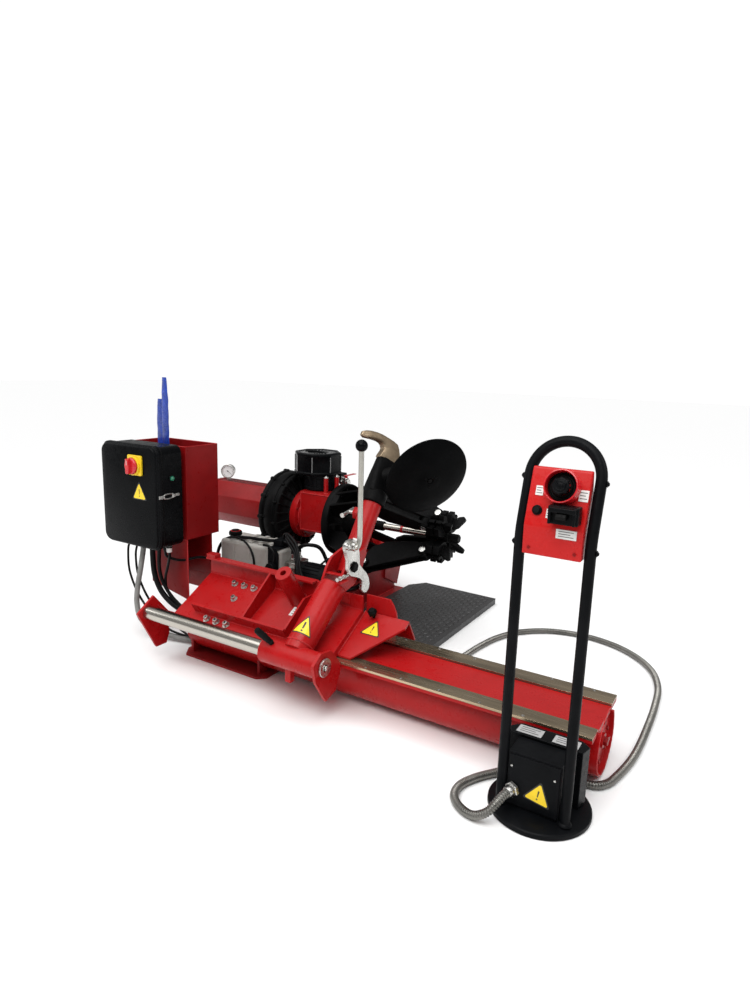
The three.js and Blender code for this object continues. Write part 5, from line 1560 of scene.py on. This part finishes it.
def make_hook():
    """Curved mounting hook."""
    across, along, thick = hook_frame()
    part = Part()
    # outer and inner edges of the blade, from its root to its tip, with the blade's half thickness
    outer = [(-42, 0), (-45, 20), (-40, 44), (-28, 64), (-14, 79), (8, 82), (34, 82), (72, 80),
             (98, 75), (128, 66), (148, 57), (160, 48)]
    inner = [(50, -8), (49, 2), (46, 14), (43, 26), (44, 36), (52, 45), (62, 49), (76, 49),
             (98, 44), (122, 36), (144, 28), (161, 30)]
    half = [20, 20, 19.5, 19, 18.5, 18, 17.5, 17, 16.5, 16, 13, 7]
    rows = []
    cols = 7
    for (ou, ov), (iu, iv), h in zip(outer, inner, half):
        row = []
        for k in range(cols):
            t = k / (cols - 1)
            u, v = iu + (ou - iu) * t, iv + (ov - iv) * t
            crown = 1 - 0.12 * abs(2 * t - 1) ** 4
            row.append((u, v, h * crown))
        rows.append(row)
    pts, index = [], {}
    for i, row in enumerate(rows):
        for k, (u, v, h) in enumerate(row):
            for s in (-1, 1):
                index[(i, k, s)] = len(pts)
                pts.append(upper(196.3) + across * u + along * v + thick * h * s)
    faces = []
    n = len(rows)
    for i in range(n - 1):
        for k in range(cols - 1):
            for s in (-1, 1):
                faces.append(tuple(index[q] for q in ((i, k, s), (i, k + 1, s),
                                                      (i + 1, k + 1, s), (i + 1, k, s))))
        for k in (0, cols - 1):
            faces.append(tuple(index[q] for q in ((i, k, -1), (i + 1, k, -1), (i + 1, k, 1), (i, k, 1))))
    for i in (0, n - 1):
        for k in range(cols - 1):
            faces.append(tuple(index[q] for q in ((i, k, -1), (i, k + 1, -1), (i, k + 1, 1), (i, k, 1))))
    part.solid(pts, faces)
    part.done("hook_blade", "bronze", "head", bevel=3.2, segments=3, smooth=40, replaces=("mount_hook",))
    plate = Part()
    plate.prism([upper(196) + across * u + along * v + thick * -18.5 for u, v in ((-34, -26), (34, -26),
                                                                                  (30, 6), (-30, 6))],
                thick * 37)
    plate.done("hook_root", "cast", "head", bevel=3)


def make_disc():
    """Dished bead disc with its hub."""
    part = Part()
    base = DISC_C - DISC_N * 8
    profile = [(0, 0), (32, 0), (34, 1), (36, 6), (44, 9.5), (90, 11), (130, 10), (160, 4),
               (170, 2.2), (173.2, 3.4), (174, 6), (173.2, 8.6), (170, 10.6), (158, 15), (136, 22.5),
               (110, 29), (84, 33), (56, 35.6), (42, 36.4), (38, 37.6), (16, 38), (14, 37), (12, 34), (0, 33)]
    part.lathe(profile, base, DISC_N, 160)
    part.done("bead_dish", "disc", "disc", smooth=24, replaces=("bead_disc",))
    hub = Part()
    hub.lathe([(0, 0), (9, 0), (10.5, 2), (9, 5), (0, 5.6)], base + DISC_N * 33, DISC_N, 6)
    for d in around(DISC_N, 3):
        hub.socket(base + DISC_N * 37.2 + d * 27, DISC_N, 8, 3)
    hub.done("dish_hub", "cast", "disc")


# ------------------------------------------------------------------ control stand
STAND = {"x": -109.0, "y": -101.0, "leg_y": -170.0, "spread": 92.0, "r": 14.6, "knee": 818.0, "top": 1056.0,
         "lean": 0.29}


def make_stand():
    """Foot, bent tube, leg welds and screws of the stand."""
    base = Part()
    base.lathe([(0, 0), (143, 0), (146.4, 2), (147, 5), (146.4, 14), (143, 17), (132, 20),
                (112, 23.4), (60, 25.6), (0, 26)], (STAND["x"], STAND["y"], 0), UP, 128)
    base.done("stand_foot", "black", "machine", smooth=24, replaces=("stand_base",))
    x, spread, knee = STAND["x"], STAND["spread"], STAND["knee"]
    spring = STAND["top"] - spread

    def back(z):
        t = (z - knee + 26) / 52
        if t <= 0:
            return STAND["leg_y"]
        if t < 1:
            return STAND["leg_y"] + STAND["lean"] * 26 * t * t
        return STAND["leg_y"] + STAND["lean"] * (z - knee)

    zs = [26.6, 200, 500, 760] + [knee - 26 + 52 * k / 8 for k in range(9)] + [880, 920, spring]
    left = [(x - spread, back(z), z) for z in zs]
    arc = []
    for i in range(1, 48):
        a = math.pi - math.pi * i / 48
        z = spring + spread * math.sin(a)
        arc.append((x + spread * math.cos(a), back(z), z))
    right = [(x + spread, y, z) for _, y, z in reversed(left)]
    loop = Part()
    loop.tube(left + arc + right, STAND["r"], 28)
    loop.done("stand_loop", "black", "machine", smooth=50, replaces=("stand_frame",))
    feet = Part()
    for s in (-1, 1):
        c = (x + s * spread, STAND["leg_y"], 25.4)
        feet.lathe([(14.6, 0), (20, 0), (18.5, 3), (16, 5.6), (14.6, 7)], c, UP, 40)
    feet.done("leg_welds", "black", "machine")
    screws = Part()
    for s in (-1, 1):
        for z in (790, 960):
            cy = back(z)
            screws.puck((x + s * (spread + 15.4), cy, z), (s, 0, 0), 8, 1.4, 24)
            screws.lathe([(0, 0), (5.2, 0), (5, 3), (3, 4.4), (0, 4.8)], (x + s * (spread + 16.4), cy, z),
                         (s, 0, 0), 20)
    screws.done("stand_screws", "black", "machine")


def make_stand_box_details():
    """Rivets, sign, cable gland and labels of the boxes on the stand."""
    rivets = Part()
    for xx, z in ((-173, 150), (-51, 146)):
        rivets.lathe([(0, 0), (3.6, 0), (3.2, 1.4), (1.6, 2.2), (0, 2.3)], (xx, -178.2, z), FRONT, 20)
    rivets.done("cover_rivets", "zinc", "machine")
    sign("stand_sign", (-94, -178.2, 84), FRONT, (0.17, 0, 0.985), 47, "machine")
    gland = Part()
    axis = Vector((-20, -61.7, -8)).normalized()
    start = Vector((-164, -177, 82))
    gland.hexagon(start + axis * 1, axis, 38, 11)
    gland.lathe([(0, 11), (16.4, 11), (17, 13), (17, 22), (15, 28.4), (13.6, 29.6), (0, 29.6)], start, axis,
                32)
    gland.done("stand_gland", "zinc", "machine", smooth=28)
    for k, cx in enumerate((-163, -57)):
        label(f"housing_label_{k + 1}", (cx, -59, 200), UP, BACK, 74, 42, "machine", "silver_label")


def console_point(x, up, out):
    """A point up the console's sloping face, or out in front of it."""
    tilt = CONSOLE_TILT
    return Vector((x, -192 + up * math.sin(tilt) - out * math.cos(tilt),
                   862 + up * math.cos(tilt) + out * math.sin(tilt)))


def fillet(corners, radii, steps=8):
    """A closed outline (y, z) with its corners rounded."""
    out = []
    n = len(corners)
    for i, (p, r) in enumerate(zip(corners, radii)):
        p = Vector(p)
        if r <= 0:
            out.append(p)
            continue
        a = (Vector(corners[i - 1]) - p).normalized()
        b = (Vector(corners[(i + 1) % n]) - p).normalized()
        half = a.angle(b) / 2
        reach = r / math.tan(half)
        centre = p + (a + b).normalized() * (r / math.sin(half))
        start, end = p + a * reach - centre, p + b * reach - centre
        for k in range(steps + 1):
            d = start.lerp(end, k / steps)
            out.append(centre + d.normalized() * r)
    return out


def make_console():
    """Red console shell."""
    gap = STAND["r"] + 1.4
    x0, x1 = STAND["x"] - STAND["spread"] + gap, STAND["x"] + STAND["spread"] - gap
    corners = [(-156, 768), (-196.6, 768), (-197.2, 845.4), (-151.8, 990.6), (-139, 991),
               (-127, 930), (-149, 850)]
    outline = fillet(corners, [0, 3, 30, 7, 6, 8, 20])
    panel = Part()
    panel.prism([(x0, y, z) for y, z in outline], (x1 - x0, 0, 0))
    # the console's lighter red is painted light
    panel.done("console_shell", "red_painted_light", "machine", bevel=4, smooth=25,
               replaces=("console_box",), segments=4)


def make_joystick():
    """Joystick knob in its boot and red ring."""
    collar = Part()
    collar.lathe([(37, 2), (45, 2), (45.4, 6), (44, 30), (43, 33), (40.4, 33.6), (39, 32), (37, 4)],
                 console_point(-100, 87, -4), CONSOLE_NORMAL, 72)
    collar.done("joystick_ring", "knob_red", "machine")
    well = Part()
    well.lathe([(20, 0), (37.6, 0), (37.6, 8), (34, 12), (31, 7), (28, 7), (25, 12), (22, 12),
                (20, 6), (20, 0)],
               console_point(-100, 87, 0), CONSOLE_NORMAL, 64)
    well.done("joystick_boot", "rubber", "machine")
    stick = Part()
    profile = [(0, 3), (14, 3), (16, 6), (15, 10), (11, 13), (11, 17), (15, 21), (20, 25), (22, 31), (21, 36),
               (18, 38.6), (16, 37.4), (14, 39.6), (11, 40.6), (9, 39), (6, 41.6), (0, 42)]
    stick.lathe(profile, console_point(-98, 86, 0), CONSOLE_NORMAL, 72)
    c = console_point(-98, 86, 0)
    for a in angles(8):
        d = Vector(RIGHT) * math.cos(a) + CONSOLE_UP * math.sin(a)
        stick.rod(c + d * 20 + CONSOLE_NORMAL * 24, c + d * 20 + CONSOLE_NORMAL * 36, 3.4, 12, 1.2)
    stick.done("joystick_knob", "plastic", "stick", replaces=("joystick",))


def make_switches():
    """Rocker switch in its housing, and the push button."""
    housing = Part()
    housing.box(-117, -41, -226, -190, 862, 908)
    housing.box(-113, -45, -241, -226, 894, 907)
    housing.box(-113, -105, -240, -226, 864, 896)
    housing.box(-53, -45, -240, -226, 864, 896)
    housing.done("switch_housing", "plastic", "machine", bevel=3)
    rocker = Part()
    rocker.prism([(-93, -229, 875), (-93, -242, 878), (-93, -245, 884), (-93, -240, 892), (-93, -229, 892)],
                 (26, 0, 0))
    rocker.done("rocker_key", "rubber", "rocker", bevel=1.6, replaces=("switch_lever",))
    button = Part()
    button.lathe([(0, 0), (8.6, 0), (8.6, 5), (7.4, 6.6), (0, 7)], console_point(-156, 22, 2.4),
                 CONSOLE_NORMAL, 40)
    button.done("black_button", "rubber", "button", replaces=("push_button",))
    rim = Part()
    rim.lathe([(9.4, 0), (13, 0), (13, 3), (12, 4.4), (9.4, 4.4)], console_point(-156, 22, 0.2),
              CONSOLE_NORMAL, 40)
    rim.done("button_rim", "plastic", "machine")


def make_console_labels():
    """Labels and screws on the console."""
    for name, x, u, w, h in (("console_label_1", -158, 73, 20, 25), ("console_label_2", -46, 72, 24, 29),
                             ("console_label_3", -124, 17, 16, 24)):
        label(name, console_point(x, u, 0.4), CONSOLE_NORMAL, CONSOLE_UP, w, h, "machine")
    label("console_label_4", Vector((-74, -197.9, 833)), (0, -1, 0.02), UP, 52, 24, "machine")
    screws = Part()
    for x, y, z in ((-168, -198, 786), (-50, -198, 786)):
        screws.lathe([(0, 0), (4.4, 0), (4, 1.6), (2, 2.4), (0, 2.5)], (x, y, z), FRONT, 20)
    # the console screws take the darker red: painted shade
    screws.done("console_screws", "red_painted_shade", "machine")


# ------------------------------------------------------------------ light and floor
def area_light(name, location, target, size, power, colour=(1, 1, 1), size_y=None):
    """A rectangular lamp aimed at a point."""
    data = bpy.data.lights.new(name, "AREA")
    data.shape = "RECTANGLE"
    data.size = size
    data.size_y = size_y or size
    data.energy = power
    data.color = colour
    ob = bpy.data.objects.new(name, data)
    bpy.context.scene.collection.objects.link(ob)
    ob.location = location
    ob.rotation_mode = "QUATERNION"
    ob.rotation_quaternion = (Vector(target) - Vector(location)).to_track_quat("-Z", "Y")


def make_stage():
    """White floor, world light and lamps."""
    mesh = bpy.data.meshes.new("floor")
    half = 30  # metres, so that the edge is never seen
    mesh.from_pydata([(-half, -half, 0), (half, -half, 0), (half, half, 0), (-half, half, 0)],
                     [], [(0, 1, 2, 3)])
    floor = bpy.data.objects.new("floor", mesh)
    bpy.context.scene.collection.objects.link(floor)
    mat = bpy.data.materials.new("pale_floor")
    mat.use_nodes = True
    bsdf = mat.node_tree.nodes["Principled BSDF"]
    bsdf.inputs["Base Color"].default_value = (0.90, 0.90, 0.90, 1)
    bsdf.inputs["Roughness"].default_value = 0.95
    bsdf.inputs["Specular IOR Level"].default_value = 0.1
    mesh.materials.append(mat)
    floor.location = (0, 0, -0.0005)
    world = bpy.data.worlds.new("studio")
    bpy.context.scene.world = world
    world.use_nodes = True
    nodes, links = world.node_tree.nodes, world.node_tree.links
    background = nodes["Background"]
    background.inputs["Color"].default_value = (1.0, 1.0, 1.0, 1)
    path = nodes.new("ShaderNodeLightPath")
    mix = nodes.new("ShaderNodeMapRange")
    mix.inputs["To Min"].default_value = 0.34
    mix.inputs["To Max"].default_value = 1.05
    links.new(path.outputs["Is Camera Ray"], mix.inputs["Value"])
    links.new(mix.outputs["Result"], background.inputs["Strength"])
    sky = bpy.data.lights.new("overhead", "SUN")
    sky.energy = 2.55
    sky.angle = math.radians(70)
    lamp = bpy.data.objects.new("overhead", sky)
    bpy.context.scene.collection.objects.link(lamp)
    lamp.rotation_mode = "QUATERNION"
    lamp.rotation_quaternion = Vector((0.10, 0.30, -1)).to_track_quat("-Z", "Y")
    area_light("key", (0.6, -2.6, 3.0), (0, -0.1, 0.2), 2.4, 44, (1, 0.99, 0.97), 1.4)
    area_light("left", (-3.4, -1.6, 1.8), (-0.4, -0.1, 0.4), 1.2, 14, (0.97, 0.99, 1))
    area_light("right", (3.2, -0.2, 2.6), (0.6, -0.3, 0.2), 1.4, 20, (1, 1, 1))
    scene = bpy.context.scene
    scene.view_settings.view_transform = "Standard"
    scene.view_settings.look = "None"


for make in (make_gear_housing, make_cowl, make_motor, make_fan_cover, make_chuck_arm_details,
             make_ball_valve, make_gauge, make_chuck, make_power_pack, make_filler_cap,
             make_valve_block, make_pump_motor, make_hoses, make_enclosure, make_isolator,
             make_lamp, make_door_clip, make_box_fittings, make_box_cables, make_levers,
             make_column_details, make_bed_details, make_base_details, make_platform,
             make_carriage, make_slide_shaft, make_guard_knob, make_tool_arm, make_sleeve_handle,
             make_index_pin, make_latch, make_latch_adjuster, make_tool_head, make_hook, make_disc,
             make_stand, make_stand_box_details, make_console, make_joystick, make_switches,
             make_console_labels, make_stage):
    make()
